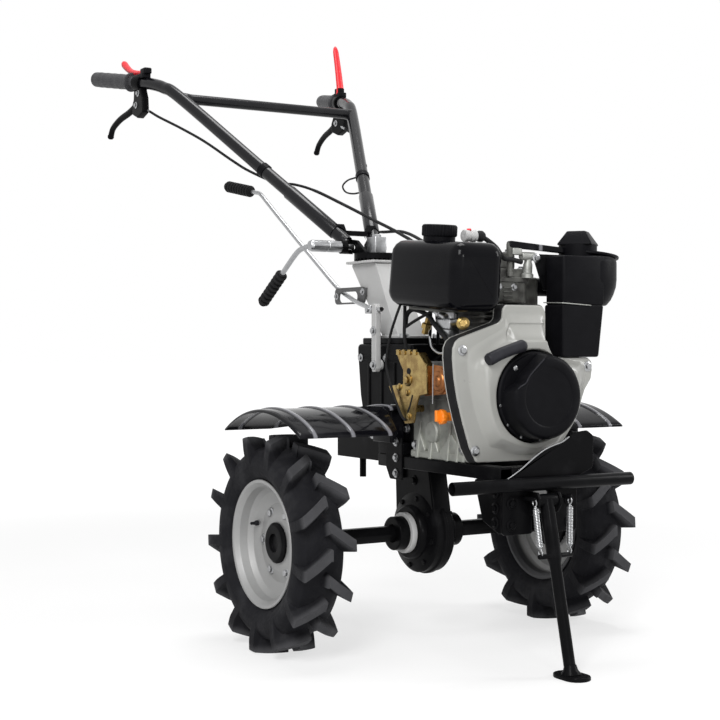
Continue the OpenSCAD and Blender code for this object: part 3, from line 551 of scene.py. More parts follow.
for side in (-1, 1):
    top, low = np.array([side * 45, -448, 345.0]), np.array([side * 36.5, -457, 242.0])
    axis = (low - top) / np.linalg.norm(low - top)
    u = np.cross(axis, (1, 0, 0))
    u /= np.linalg.norm(u)
    w = np.cross(axis, u)
    s = np.linspace(0, 1, 28 * 16)
    angle = s * 28 * 2 * np.pi
    wind = 5.7 * np.clip(np.minimum(s, 1 - s) * 14, 0.35, 1)
    length = np.linalg.norm(low - top)
    around = np.cos(angle)[:, None] * u + np.sin(angle)[:, None] * w
    coil = top + axis * (9 + s * (length - 18))[:, None] + wind[:, None] * around
    springs.append(rod(coil, 1.35, axis, 7))
    for base, way in ((top, axis), (low, -axis)):
        h = np.linspace(-2.4, 2.6, 16)
        hook = base + way * (1.5 - 6.0 * np.cos(h))[:, None] + u * (6.0 * np.sin(h))[:, None]
        springs.append(rod(np.concatenate([hook, [base + way * 9 + u * 2.4]]), 1.35, w, 7))
coils = piece("stand_springs.coil", springs, zinc, "stand_springs", body=None)
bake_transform(coils)

# Fenders: arched sheet-steel guards in glossy black, four pressed ribs along the machine, rims
# turned down all round, each bolted to the gear case by a bracket under its inner end; the front
# corner runs on inwards as far as the engine's crankcase lets it.
gloss, place = finish("gloss black sheet", "black_paint", Specular_IOR_Level=0.07, Coat_Roughness=0.05)
haze = grain(place, 18, 5).above(0.48, 0.8)
RIBS = np.array([390.5, 300.5, 210.5, 120.5])
across = place.node("ShaderNodeSeparateXYZ", {}, {0: place})
across = across.math("ABSOLUTE", across)
away = [across - c for c in (0.001 * RIBS).tolist()]
# Bands along the four ribs are painted highlights: a lighter colour and a heavier coat there.
painted_rib_highlight = sum(1 - a.math("ABSOLUTE", a).above(0.0025, 0.0065) for a in away)
feed(gloss, Base_Color=(0.08 * haze + 0.9 * painted_rib_highlight).mix((0.004, 0.004, 0.0054, 1), (0.22, 0.22, 0.24, 1)),
     Roughness=0.10 + 0.14 * haze, Coat_Weight=0.05 - 0.03 * haze + 0.5 * painted_rib_highlight,
     Normal=relief(grain(place, 60, 2), 0.0008, 0.18))


def fender(side):
    """Sheet over a plan outline, both faces: height is sqrt(arch ** 2 - y ** 2) plus a smooth ridge at each rib."""
    outer, inner, arch, centre, sheet = -427.5, -76, 341.9, 180.1, 3
    x = np.concatenate([np.linspace(outer, -420, 5)[:-1], np.linspace(-420, inner, 230)])
    front = np.interp(x, [outer, -205, -190, -150, -140, inner], [-173, -173, -168, -62, -38, -28])
    back = np.interp(x, [outer, -314.5, -130, inner], [173, 173, 140, 100])
    s = np.concatenate([np.linspace(0, 0.03, 4)[:-1], np.linspace(0.03, 0.97, 44), np.linspace(0.97, 1, 4)[1:]])
    y = front[:, None] + (back - front)[:, None] * s
    rim = np.minimum(np.minimum(s, 1 - s) * (back - front)[:, None], (x - outer)[:, None])
    ribs = sum(3.8 * np.exp(-((x - c) / 5.0) ** 6) for c in -RIBS)
    z = centre + np.sqrt(arch ** 2 - y ** 2) + ribs[:, None] * np.clip(rim / 12, 0, 1) - 4.0 * np.exp(-rim / 3.0)
    top = np.stack([np.broadcast_to(x[:, None], y.shape), y, z], axis=-1)
    under = top - (0, 0, sheet)
    return patch(np.concatenate([top, under[:, ::-1]], axis=1) * (-side, 1, 1))


for name, side in (("right", -1), ("left", 1)):
    a, b = sorted((side * 112, side * 76))
    piece("fender_sheet." + name, [fender(side), box((a, -20, 440), (b, 60, 512), 2, 4)], gloss,
          "fender_" + name, sharp=50)
    piece("fender_bolts." + name, bolts([(side * 96, -4, 518.5), (side * 96, 44, 515.8)], (0, 0, 1), 12), zinc)

# Hitch: a square socket of thick black plate behind the gear case, with a drop pin, the pin's
# zinc ring and a free hole beside it.


def dress(node, paint):
    """Gives a carried-over node its finish."""
    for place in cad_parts[node].material_slots:
        place.material = paint


dress("hitch", black)
ring = collar([(3.2, -1.2), (5.6, -1.2), (5.6, 1.2), (3.2, 1.2)], 0.8, (0, 285, 449), (0, 1, 0), 24)
piece("hitch.pin_ring", [ring], zinc)

# Crankcase: a cast aluminium block with webs at its foot, a round swelling about the
# crankshaft and studs with nuts; the finned cylinder and the head stand on it, with the intake
# manifold's block, the injector and its riser.
cast, place = finish("cast aluminium", "bare_aluminium", Specular_IOR_Level=0.4)
stain = grain(place, 26, 6).above(0.5, 0.78)
sand = grain(place, 520, 3)
feed(cast, Base_Color=stain.mix((0.36, 0.367, 0.347, 1), (0.175, 0.175, 0.162, 1)), Metallic=0.55 - 0.2 * stain,
     Roughness=0.40 + 0.2 * grain(place, 70), Normal=relief(sand, 0.0006, 0.4))
stained_and_shaded, place = finish("oily cast iron", "bare_aluminium", Specular_IOR_Level=0.3)
# Higher up the cast darkens almost to black: painted shade under the tank and the head, mixed with clouds of stain.
high = place.node("ShaderNodeSeparateXYZ", {}, {0: place}, out=2).above(0.44, 0.53)
stain = grain(place, 34, 6).above(0.42, 0.75)
feed(stained_and_shaded, Base_Color=(0.72 * high + 0.28 * stain).mix((0.40, 0.41, 0.375, 1), (0.040, 0.038, 0.036, 1)),
     Metallic=0.5 - 0.35 * high, Roughness=0.38 + 0.24 * grain(place, 60),
     Normal=relief(grain(place, 420, 4), 0.0008, 0.5))
block = [box((-92, -270, 412), (150, -64, 428), 3, 8), box((-84, -286, 426), (142, -62, 622), 5, 9),
         turned([(60, -285), (105, -285), (117, -276), (118, -240), (118, -75), (112, -62), (60, -62)],
                (CRANK_X, 0, CRANK_Z), (0, 1, 0), 72)]
block[2][0][:, 2] = np.clip(block[2][0][:, 2], 432, 620)
block[2][0][:, 0] = np.clip(block[2][0][:, 0], -88, 146)
for y in (-250, -215, -150, -100):
    block.append(slab([(-96, 412), (-80, 412), (-80, 498), (-86, 492), (-90, 462)], y, y + 9, "y", 1.5, 2))
    block.append(slab([(154, 412), (138, 412), (138, 498), (144, 492), (148, 462)], y, y + 9, "y", 1.5, 2))
for y0, y1, z0, z1 in ((-262, -178, 424, 470), (-170, -132, 424, 470), (-120, -74, 424, 470)):
    block.append(slab([(y0, z0), (y1, z0), (y1, z0 + 8), ((y0 + y1) / 2, z1), (y0, z0 + 8)], -90, -82, "x", 2, 4))
block.append(box((-90, -200, 540), (-80, -90, 612), 3, 8))
block.append(turned([(0.5, 10), (20, 10), (23, 7), (23, -2)], (-84, -150, 470), (-1, 0, 0), 40))
piece("crankcase.cast", block, stained_and_shaded, "crankcase")


def tilted(shell):
    """A shell drawn in the tank's own frame, turned by 4.5 degrees about y -332, z 724 so that its nose dips."""
    (x, y, z), a = shell[0].T, np.radians(4.5)
    points = [x, -332 + y * np.cos(a) - z * np.sin(a), 724 + y * np.sin(a) + z * np.cos(a)]
    return np.stack(points, axis=1), shell[1]


head = [box((88, -214, 738), (152, -118, 806), 5, 12), box((-16, -228, 622), (84, -100, 745), 4, 10),
        box((-28, -242, 748), (96, -90, 822), 4, 10), box((-12, -228, 820), (80, -104, 858), 7, 16),
        tilted(box((-122, 106, -6), (-20, 228, 0), 1.5, 4))]
piece("cylinder_head.cast", head, stained_and_shaded, "cylinder_head")
fins = [box((-28, -242, 672 + 11 * k), (96, -90, 677 + 11 * k), 1.2, 12) for k in range(7)]
fins += [box((-31, -246, 793), (103, -87, 804), 2, 12)]
fins += [box((30, -246, 752 + 9 * k), (54, -240, 756 + 9 * k), 1, 2) for k in range(4)]
piece("cylinder_head.fins", fins, stained_and_shaded)
injector = [collar([(0.5, -1), (9, -1), (9, 35), (0.5, 35)], 2, (72, -251, 849), (1, 0, 0), 32),
            box((46, -256, 851), (73, -244, 868), 3, 5),
            turned([(0.5, 0), (13, 0), (13, 8), (10, 11), (10, 29), (8, 34), (8, 46), (0.5, 46)], (90, -249, 802),
                   (0.05, 0, 1), 28)]
piece("engine.injector", injector, cast)
riser = turned([(0.5, 0), (7.5, 0), (7.5, 8), (6, 9), (6, 50), (7, 52), (7, 68), (6, 72), (0.5, 72)],
               (43, -249, 805), (-0.01, 0, 1), 24)
piece("engine.riser", [riser], stained_and_shaded)
piece("air_cleaner.strap", [slab([(97, 854), (174, 854), (170, 776), (127, 776)], -260, -255, "y", 1.2, 4)], black)
nuts = bolts([(-16, -210, 858), (68, -210, 858), (-2, -122, 858), (68, -122, 858)], (0, 0, 1), 13)
nuts += bolts([(-18, -232, 822), (86, -232, 822), (-18, -100, 822), (86, -100, 822)], (0, 0, 1), 10)
nuts += bolts([(-90, -262, 440), (-90, -240, 600), (-90, -80, 600), (-90, -84, 440)], (-1, 0, 0), 11)
nuts += bolts([(20, -242, 782), (60, -242, 782)], (0, -1, 0), 9)
piece("engine.nuts", nuts, zinc)

# Fan housing: a pressed shroud in pale warm grey, its flange bolted over a black rubber strip;
# from the flat flange it swells forward into a scroll that ends round the starter's cover.
shroud = coat("warm grey paint", "housing_grey", (11, 5), (0.385, 0.385, 0.362, 1), (0.325, 0.325, 0.306, 1),
              (0.24, 0.12, 45), (240, 3, 0.0005, 0.2), Specular_IOR_Level=0.5)
HOUSE = np.array([(-94, 416), (-111, 447), (-128, 498), (-142, 548), (-150, 590), (-154, 632), (-153, 652),
                  (-147, 665), (-136, 673), (-38, 704), (-29, 712), (-27, 733), (-20, 742), (72, 742), (80, 738),
                  (84, 728), (84, 631), (200, 631), (212, 622), (213, 604), (210, 586), (202, 575), (193, 563),
                  (186, 546), (178, 522), (170, 503), (155, 481), (138, 460), (128, 440), (122, 416)], float)


def spaced(outline, count):
    """The same closed outline at count points, evenly spaced along it."""
    p = np.concatenate([outline, outline[:1]])
    s = np.concatenate([[0], np.cumsum(np.linalg.norm(np.diff(p, axis=0), axis=1))])
    t = np.arange(count) * s[-1] / count
    return np.stack([np.interp(t, s, p[:, k]) for k in (0, 1)], axis=1)


def scroll():
    """Loft from the flange's outline to the circle round the cover: place is a straight mix of the two by s.

    The depth goes from the rubber strip over a rounded rim to the flat flange, then swells as a smooth step to the
    scroll's crest and turns in at the circle; the flange is narrow at the top right and wide at the lower left.
    A sunken panel with a slanted left side is taken off at the top."""
    outer = spaced(rounded(HOUSE, 10, 5), 420)
    t = np.arctan2(outer[:, 1] - CRANK_Z, outer[:, 0] - CRANK_X)
    circle = np.stack([CRANK_X + 98 * np.cos(t), CRANK_Z + 98 * np.sin(t)], axis=1)
    s = np.concatenate([[0, 0, 0.008, 0.02, 0.036], np.linspace(0.055, 0.94, 70), [0.96, 0.98, 1.0, 1.0]])[:, None]
    width = np.linalg.norm(outer - circle, axis=1)
    flat = (0.13 + 0.18 * (1 - np.cos(t - 1.0))) * np.clip(width / 60, 0.25, 1)
    soft = lambda v: np.clip(v, 0, 1) ** 2 * (3 - 2 * np.clip(v, 0, 1))
    depth = 319 + 24 * soft((s - flat) / (0.80 - flat))
    crease = np.sin(np.clip((s - flat) / 0.3, 0, 1) * 2 * np.pi)
    depth += 1.6 * crease * np.clip((t - 1.6) / 0.5, 0, 1) * np.clip((3.0 - t) / 0.4, 0, 1)
    place = outer[None] + s[..., None] * (circle - outer)[None]
    x, z = place[..., 0], place[..., 1]
    panel = soft((x + 15 + 0.38 * (703 - z)) / 5) * soft((80 - x) / 4)
    depth -= 4.6 * panel * soft((705 - z) / 5) * soft((z - 664) / 5)
    depth[:4] = np.array([297, 313, 316.6, 318.3])[:, None]
    depth[-3:] = np.stack([depth[-3] - 0.6, depth[-2] - 3, 318 + 0 * t])
    return patch(np.stack([x, -depth, z], axis=-1), ends=False)


piece("fan_housing.scroll", [scroll()], shroud, "fan_housing", sharp=50)
rubber_black = coat("soft black rubber", "soft_rubber", (40, 4), (0.007, 0.007, 0.008, 1),
                    (0.022, 0.022, 0.0225, 1), (0.55, 0.2, 90), (800, 3.0, 0.0004, 0.4), Specular_IOR_Level=0.12)
edge = rounded(HOUSE, 10, 5) - (30, 575)
piece("fan_trim.strip", [slab(edge * (1.013, 1.007) + (30, 575), -315, -286, "y", 2)], rubber_black, "fan_trim")
piece("fan_housing.lip", [slab(edge * (1.020, 1.011) + (30, 575), -288.6, -286.2, "y", 0.8)], shroud)
gold, place = finish("yellow zinc", "gold_zinc", Metallic=1.0)
tint = grain(place, 45, 4).above(0.38, 0.66)
feed(gold, Base_Color=tint.mix((0.40, 0.29, 0.11, 1), (0.25, 0.165, 0.06, 1)),
     Roughness=0.2 + 0.2 * grain(place, 260), Normal=relief(grain(place, 900), 0.0003, 0.3))
heads = bolts([(-130, -319, 647), (-98, -319, 441), (199, -319, 612)], (0, -1, 0), 12)
heads += bolts([(106, -260, 845)], (0, -1, 0), 11)
piece("fan_housing.bolts", heads, zinc)

# Recoil starter: a black moulded cover, round with a raised flat face, its rim screwed on; at
# its upper left a flattened mouth with a raised lip and a curved grey handle beside it.
plastic = coat("black plastic", "black_plastic", (30, 4), (0.003, 0.003, 0.0038, 1), (0.0075, 0.0075, 0.009, 1),
               (0.34, 0.14, 50), (1100, 2, 0.0003, 0.35), Specular_IOR_Level=0.05)
t = np.arange(160) * 2 * np.pi / 160
mouth, across = np.array([-0.669, 0.743]), np.array([-0.743, -0.669])
rows = np.array([(60, -2, 199), (94, -2, 199), (94, 7.5, 199), (93, 9, 199), (89.6, 10.4, 199), (89, 12, 199),
                 (88.6, 20, 199), (88.6, 20, 67.7), (87.6, 46, 67.7), (86.4, 52, 67.4), (83, 56, 66.4),
                 (78, 58, 64.6), (64, 58, 63.6), (62, 57.6, 63.4), (60.5, 56.5, 63), (30, 56.5, 63),
                 (0.5, 56.5, 63)])
disc = rows[:, :1, None] * np.stack([np.cos(t), np.sin(t)], axis=1)[None]
limit = rows[:, 2:] - 4.5 * np.exp(-((disc @ across - 25) / 12) ** 2)
disc -= np.maximum(disc @ mouth - limit, 0)[..., None] * mouth
cover = patch(np.stack([CRANK_X + disc[..., 0], np.broadcast_to(-333 - rows[:, 1:2], disc.shape[:2]),
                        CRANK_Z + disc[..., 1]], axis=-1))
piece("recoil_cover.moulding", [cover], plastic, "recoil_cover", sharp=35)
t = np.radians([191, 219, 246, 278, 320, 0, 40])
small = bolts(np.stack([CRANK_X + 91.5 * np.cos(t), 0 * t - 342, CRANK_Z + 91.5 * np.sin(t)], axis=1),
              (0, -1, 0), 5.5, False)
small += bolts([(-20, -353, 610)], (0, -1, 0), 6)
piece("recoil_cover.screws", small, zinc)
dark = coat("dark grey plastic", "black_plastic", (60, 4), (0.015, 0.015, 0.019, 1), (0.025, 0.025, 0.030, 1),
            (0.4, 0.15, 70), (1000, 3.0, 0.0003, 0.4), Specular_IOR_Level=0.16)
path = curve([(-86, -346.8, 627), (-54, -346.8, 640), (-22, -346.8, 650), (8, -346.8, 658)], 14)
share = np.linspace(0, 1, len(path))
girth = 13.5 - 1.2 * np.sin(share * np.pi) - 2.2 * np.clip(1 - share * 22, 0, 1)
girth -= 4.0 * np.clip((share - 0.94) / 0.06, 0, 1)
q = np.linspace(-44, 47, 40)
lip = (66.6 - 4.5 * np.exp(-((q - 25) / 12) ** 2))[:, None] * mouth + q[:, None] * across
edging = [rod(np.stack([CRANK_X + lip[:, 0], 0 * q - 389.6, CRANK_Z + lip[:, 1]], axis=1), 1.1, (0, 1, 0), 10)]
piece("recoil_cover.lip", edging, dark)
piece("pull_handle.grip", [rod(path, girth, (0, 1, 0), 24)], dark, "pull_handle")

# Fuel tank: black, blow-moulded, with large soft edges, on a sheet bracket beside the head; a
# ribbed screw cap on a short neck, a pale return elbow and a rubber hose over its shoulder. Under
# it the fuel tap, the pump and their pipes.
tank_gloss, place = finish("gloss black tank", "tank_black", Specular_IOR_Level=0.03, Coat_Roughness=0.06)
haze = grain(place, 15, 5).above(0.5, 0.8)
feed(tank_gloss, Base_Color=haze.mix((0.0025, 0.0025, 0.0036, 1), (0.007, 0.007, 0.008, 1)),
     Roughness=0.16 + 0.12 * haze, Coat_Weight=0.12 - 0.04 * haze, Normal=relief(grain(place, 42, 2), 0.0008, 0.15))
shell = slab([(-158, 0), (-33, 0), (-33, 143), (-158, 143)], 0, 266, "y", 30, 30, steps=9)
x, y, z = shell[0].T
shell[0][:, 1] += 10 * np.clip((y - 190) / 76, 0, 1) * np.exp(-((z - 48) / 48) ** 2)
shell[0][:, [0, 2]] += (shell[0][:, [0, 2]] - (-95.5, 71)) * 0.008 * np.exp(-((y - 133) / 3.0) ** 2)[:, None]
piece("fuel_tank.shell", [tilted(shell)], tank_gloss, "fuel_tank")
flute = np.arange(144) * 2 * np.pi / 144
rows = np.array([(29, -1), (34, -1), (34, 9), (36.2, 10.2), (37, 12.5), (37, 30), (36, 33.4), (33, 34.8),
                 (22, 35.2), (0.5, 35.2)])
radius = rows[:, :1] + np.where((rows[:, 1:] > 11) & (rows[:, 1:] < 32), 0.8, 0.0) * np.cos(flute * 36)
cap = patch(np.stack([-100.5 + radius * np.cos(flute), 152 + radius * np.sin(flute),
                      np.broadcast_to(143 + rows[:, 1:], radius.shape)], axis=-1))
piece("tank_cap.ribbed", [tilted(cap)], plastic, "tank_cap")
ELBOW = (-87, -262, 886)
valve = collar([(0.5, 0), (12.5, 0), (12.5, 12), (11, 13), (11, 17), (12.5, 18), (12.5, 30), (0.5, 30)], 1.5,
               ELBOW, (1, 0, 0), 24)
piece("fuel_tank.valve", [valve], grey)
red = coat("red plastic", "red_plastic", (60, 3), (0.92, 0.024, 0.036, 1), (0.80, 0.018, 0.027, 1),
           (0.3, 0.12, 160), (600, 3.0, 0.0003, 0.25), Specular_IOR_Level=0.5)
plug = turned([(0.5, 0), (5, 0), (5, 2.4), (3.6, 3.6), (0.5, 3.6)], (-74, -263, 897.6), (0, 0, 1), 20)
piece("fuel_tank.plug", [plug], red)
socket = turned([(0.5, 29), (10, 29), (10, 36), (12, 39), (12, 46), (9, 51), (0.5, 53)], ELBOW, (1, 0, 0), 24)
hoses = [socket, rod(curve([(-40, -262, 885), (-30, -268, 878), (-14, -275, 864), (2, -272, 849), (20, -260, 842),
                            (46, -255, 840), (72, -252, 836)], 10), 5.2, (0, 1, 0.2), 14)]
pipes = (([(-130, -87, 748), (-130, -64, 713), (-130, -44, 677), (-130, -28, 620), (-130, -36, 592),
           (-130, -59, 548), (-128, -84, 508), (-124, -96, 494)], 3.0),
         ([(-110, -73, 748), (-110, -72, 713), (-110, -71, 677), (-104, -72, 645), (-92, -76, 618)], 3.8),
         ([(-104, -66, 700), (-104, -72, 724), (-104, -99, 735), (-104, -153, 722), (-104, -181, 701),
           (-104, -219, 674), (-100, -244, 650), (-90, -252, 626)], 5.2),
         ([(-106, -66, 696), (-106, -112, 712), (-106, -156, 725), (-104, -190, 736)], 3.4))
for route, r in pipes:
    hoses.append(rod(curve(route, 10), r, (1, 0.2, 0.1), 12))
piece("engine.hoses", hoses, rubber_black)
pump = [turned([(0.5, 0), (19, 0), (21, 3), (21, 24), (15, 28), (15, 40), (18, 42), (18, 56), (0.5, 58)],
               (-80, -200, 672), (0, 0, 1), 32),
        box((-101, -229, 690), (-66, -176, 714), 4, 6),
        straight((-100, -216, 716), (-100, -170, 733),
                 [(0, 7), (0.4, 7), (0.42, 9), (0.6, 9), (0.62, 6), (1, 6)], 20),
        turned([(0.5, 0), (12, 0), (12, 26), (8, 30), (8, 50), (0.5, 52)], (-62, -250, 621), (0, -0.1, 1), 24),
        rod(curve([(-96, -150, 676), (-100, -166, 652), (-98, -196, 640), (-92, -226, 652), (-84, -236, 680)], 10),
            3.0, (1, 0.2, 0.1), 10)]
piece("engine.pump", pump, zinc)
taps = bolts([(-104, -284, 703)], (-0.5, -0.86, 0), 15)
taps.append(straight((-103, -282, 703), (-66, -226, 703), [(0, 6), (1, 6)], 20))
taps.append(turned([(0.5, 0), (8, 0), (8, 12), (12, 13), (12, 23), (7, 25), (7, 36), (0.5, 36)], (-98, -134, 682),
                   (0.05, -0.35, 1), 6))
piece("engine.fuel_tap", taps, gold)

# Air cleaner: black plastic: a flat case in front of the cylinder, a round drum above it with a
# flat-fronted shoulder, a bright clip wire, an overhanging lid and a hat over the intake; a pipe
# leads into the head.
t = np.arange(96) * 2 * np.pi / 96
rows = np.array([(744, 226, 60), (744, 226, 62.5), (746, 227, 65), (756, 231.5, 69.8), (768, 235, 73),
                 (784, 238, 76), (800, 239, 77), (838, 239, 77), (845, 239, 75.6), (849, 239, 72), (851, 239, 67),
                 (851.4, 239, 0.5)])
drum = patch(np.stack([rows[:, 1:2] + rows[:, 2:] * np.cos(t), -250 + rows[:, 2:] * np.sin(t),
                       np.broadcast_to(rows[:, :1], (len(rows), 96))], axis=-1))
shoulder = slab([(129, -324), (238, -326.5), (238, -262), (129, -262)], 744, 849, "z", 4, (9, 2, 2, 6))
corner = np.radians(83 + 90 * np.arange(4))
square = rounded(np.stack([np.cos(corner), np.sin(corner)], axis=1), 0.07, 4)
levels = np.array([(0.90, 876.5), (0.985, 877), (1.0, 878.5), (0.985, 880.5), (0.565, 905.6), (0.53, 907.4),
                   (0.48, 908), (0.01, 908)])
hat = patch(np.concatenate([54 * levels[:, :1, None] * square[None] + (229, -250),
                            np.broadcast_to(levels[:, None, 1:], (len(levels), len(square), 1))], axis=2))
lid = collar([(0.5, 0), (62.4, 0), (62.4, 7), (0.5, 7)], 2.4, (264.4, -250, 852), (0.122, 0, 0.993), 80)
cleaner = [slab([(126, 632), (226, 632), (240, 745), (126, 745)], -325, -262, "y", 3.5, 6), drum, shoulder, lid,
           hat, turned([(0.5, 0), (42, 0), (42, 33), (0.5, 33)], (229, -250, 845), (0, 0, 1), 48),
           turned([(20, 0), (20, 100)], (96, -190, 786), (1, 0, 0), 32)]
piece("air_cleaner.moulding", cleaner, plastic, "air_cleaner", sharp=38)
clip = rod(curve([(124.6, -262, 749.5), (124.6, -290, 748.5), (124.8, -318, 747.6), (130, -326, 747.2),
                  (165, -326.4, 745.3), (202, -326.4, 743.2)], 8), 1.2, (0, 0, 1), 10)
piece("air_cleaner.clip", [clip], cast)
stay = slab([(38, 866), (38, 881), (196, 870), (196, 857)], -257, -243, "y", 2.5, 5)
piece("air_cleaner.stay", [stay], gloss)

# Muffler: a welded steel box, painted black, on a stub from the back of the head, with a short
# tail pipe.
mute = [slab([(20, 700), (185, 700), (185, 850), (20, 850)], -84, 12, "y", 16, 18, steps=6),
        turned([(20, -90), (20, -70)], (60, 0, 780), (0, 1, 0), 32),
        collar([(11, 0), (14, 0), (14, 30), (11, 30)], 1, (150, 0, 740), (0, 1, 0), 28)]
piece("muffler.box", mute, black, "muffler")

# Governor and throttle plates: yellow-zinc sheet with a toothed top, a slot and pivot bolts,
# and a smaller copper-coloured plate behind; beside them the orange oil dipstick.
copper, place = finish("copper zinc", "gold_zinc", Metallic=1.0)
feed(copper, Base_Color=grain(place, 50, 4).mix((0.36, 0.15, 0.05, 1), (0.26, 0.10, 0.04, 1)),
     Roughness=0.3 + 0.2 * grain(place, 220))
quad = [(-54, 647), (-146, 642), (-177, 614), (-180, 554), (-147, 549), (-136, 528), (-126, 490), (-92, 487),
        (-79, 500), (-36, 553), (-26, 567), (-84, 573), (-84, 603), (-67, 625)]
fold = slab([(-146, 642), (-177, 614), (-180, 554), (-177, 554), (-174, 613), (-145, 639)], -122, -104, "x", 0.8)
teeth = [slab([(y - 6, 636), (y + 6, 636), (y + 5, 648), (y - 5, 648)], -125, -119, "x", 0.8, 1.5)
         for y in (-66, -88, -110, -132)]
pivots = [turned([(8, -2), (8, 28)], (-118, y, z), (1, 0, 0), 20) for y, z in ((-120, 600), (-112, 520))]
piece("governor_plate.front", [slab(quad, -122, -118, "x", 0.8), fold] + teeth + pivots, gold, "governor_plate")
magnet = collar([(0.5, 0), (29, 0), (29, 8), (22, 8), (20, 11), (12, 11), (10, 15), (0.5, 15)], 1.2,
                (-106, -208, 582), (-1, 0, 0), 48)
behind = [(-150, 548), (-250, 556), (-258, 592), (-236, 612), (-190, 616), (-150, 604)]
back = [slab(behind, -112, -108, "x", 0.8, 6), turned([(8, 0), (8, 24)], (-110, -225, 584), (1, 0, 0), 20), magnet]
piece("governor_plate.back", back, copper)
heads = bolts([(-122, -104, 582)], (-1, 0, 0), 15)
heads += bolts([(-122, -102, 555), (-122, -108, 503), (-122, -70, 566)], (-1, 0, 0), 9)
piece("governor_plate.bolts", heads, gold)
# The slot and a hole are not cut: a black groove and a black disc on the plate paint their shade.
groove = curve([(-122, -122, 550), (-122, -117, 538), (-122, -111, 524), (-122, -102, 511)], 6)
painted_slot_shade = [rod(groove, [(0.8, 2.8)], (0, 0.4, 1), 10),
         turned([(0.5, 1), (7, 1), (7, -3)], (-122, -107, 601), (-1, 0, 0), 24)]
piece("governor_plate.slots", painted_slot_shade, rubber_black)
piece("governor_plate.rod", [straight((-125, -206, 618), (-125, -204, 534), [(0, 1.4), (1, 1.4)], 10)], zinc)
orange, place = finish("orange plastic", "orange_plastic", Specular_IOR_Level=0.5)
feed(orange, Base_Color=grain(place, 80, 3).mix((1.0, 0.28, 0.016, 1), (0.96, 0.23, 0.014, 1)),
     Roughness=0.32 + 0.12 * grain(place, 200))
flute = np.arange(72) * 2 * np.pi / 72
rows = np.array([(9, -84), (9, -117), (13.5, -118), (15, -120), (15, -130), (13, -132), (0.5, -132)])
radius = rows[:, :1] + np.where(rows[:, :1] > 14, 0.7, 0) * np.cos(flute * 12)
knob = patch(np.stack([np.broadcast_to(rows[:, 1:], radius.shape), -238 + radius * np.cos(flute),
                       508 + radius * np.sin(flute)], axis=-1))
piece("dipstick.knob", [knob, box((-142, -242, 498), (-130, -234, 522), 2, 3)], orange, "dipstick")

# Handle column: a light grey channel of folded sheet welded on the gear box lid, with a thin top
# plate; on its right a dark slotted gate plate and the link that the gear lever turns.
PLATE_Z = 852
sides = [(62, LID_Z), (132, LID_Z), (212, 770), (278, PLATE_Z), (166, PLATE_Z), (104, 735)]
front = [(62, LID_Z), (70, LID_Z), (110, 735), (172, PLATE_Z), (166, PLATE_Z), (104, 735)]
column = [slab(sides, a, a + 5, "x", 1.2, (4, 4, 60, 4, 4, 40)) for a in (-38, 33)]
column.append(slab(front, -34, 34, "x", 1, 0))
column.append(box((-52, 160, PLATE_Z), (52, 284, PLATE_Z + 6), 1.5, 8))
column.append(turned([(9, 0), (9, 38), (7.5, 40)], (0, 222, PLATE_Z + 6), (0, 0, 1), 24))
column.append(slab([(58, 672), (138, 672), (138, 680), (58, 680)], -42, 42, "x", 2, 3))
column.append(slab([(100, 731), (106, 731), (170, 850), (164, 850)], -4, 4, "x", 1.5, 0))
piece("handle_column.channel", column, grey, "handle_column")
iron, place = finish("dark grey iron", "black_paint", Specular_IOR_Level=0.4)
feed(iron, Base_Color=grain(place, 40, 4).mix((0.080, 0.080, 0.083, 1), (0.135, 0.135, 0.135, 1)),
     Roughness=0.42 + 0.2 * grain(place, 60), Metallic=0.2 + 0.2 * grain(place, 20),
     Normal=relief(grain(place, 400), 0.0004, 0.3))
outer = spaced(rounded([(200, 756), (339, 756), (339, 796), (200, 796)], 12, 6), 120)
inner = spaced(rounded([(232, 760), (322, 760), (322, 786), (232, 786)], 12.8, 6), 120)
rings = ((outer, -48.0), (outer, -43.0), (inner, -43.0), (inner, -48.0))
gate = np.stack([np.concatenate([np.full((120, 1), x), o], axis=1) for o, x in rings])
piece("shift_gate.plate", [patch(gate, loop=True), box((-43, 201, 774), (-38, 212, 794), 1, 2)], iron,
      "shift_gate", sharp=30)
arm = [(74, 604), (74, 744), (80, 752), (90, 752), (94, 744), (94, 604), (90, 596), (78, 596)]
link = [slab(arm, -94, -80, "x", 2, 3), turned([(13, 0), (13, 5), (11, 7)], (-80, 84, 612), (1, 0, 0), 28)]
piece("shift_gate.link", link, grey)
KNOB = (-75, 735, 1067)
lever_path = curve([(-87, 60, 739), (-87, 76, 739), (-87, 92, 739), (-85, 110, 740), (-75, 150, 748),
                    (-66, 190, 755), (-57, 230, 763), (-46, 265, 770), (-37, 300, 778), (-34, 335, 790),
                    (-37, 372, 814), (-43, 420, 851), (-49, 470, 889), (-55, 520, 927), (-60, 570, 965),
                    (-64.5, 618, 1001), (-67.5, 655, 1029), (-69.3, 682, 1049), (-70.2, 700, 1059.7),
                    (-72.6, 717.4, 1063.4), KNOB], 6)
clevis = [box((-95, 98, 730), (-79, 122, 749), 2, 3),
          turned([(6, -1), (6, 3), (4, 4)], (-95, 110, 739), (-1, 0, 0), 20)]
piece("gear_lever.rod", [rod(lever_path, 5.4, (1, 0, 0), 16)] + clevis, zinc, "gear_lever")
heads = bolts([(-94, 84, 612), (-94, 84, 690)], (-1, 0, 0), 12)
heads += bolts([(-48, 208, 784), (-48, 330, 776)], (-1, 0, 0), 9)
piece("shift_gate.bolts", heads, zinc)


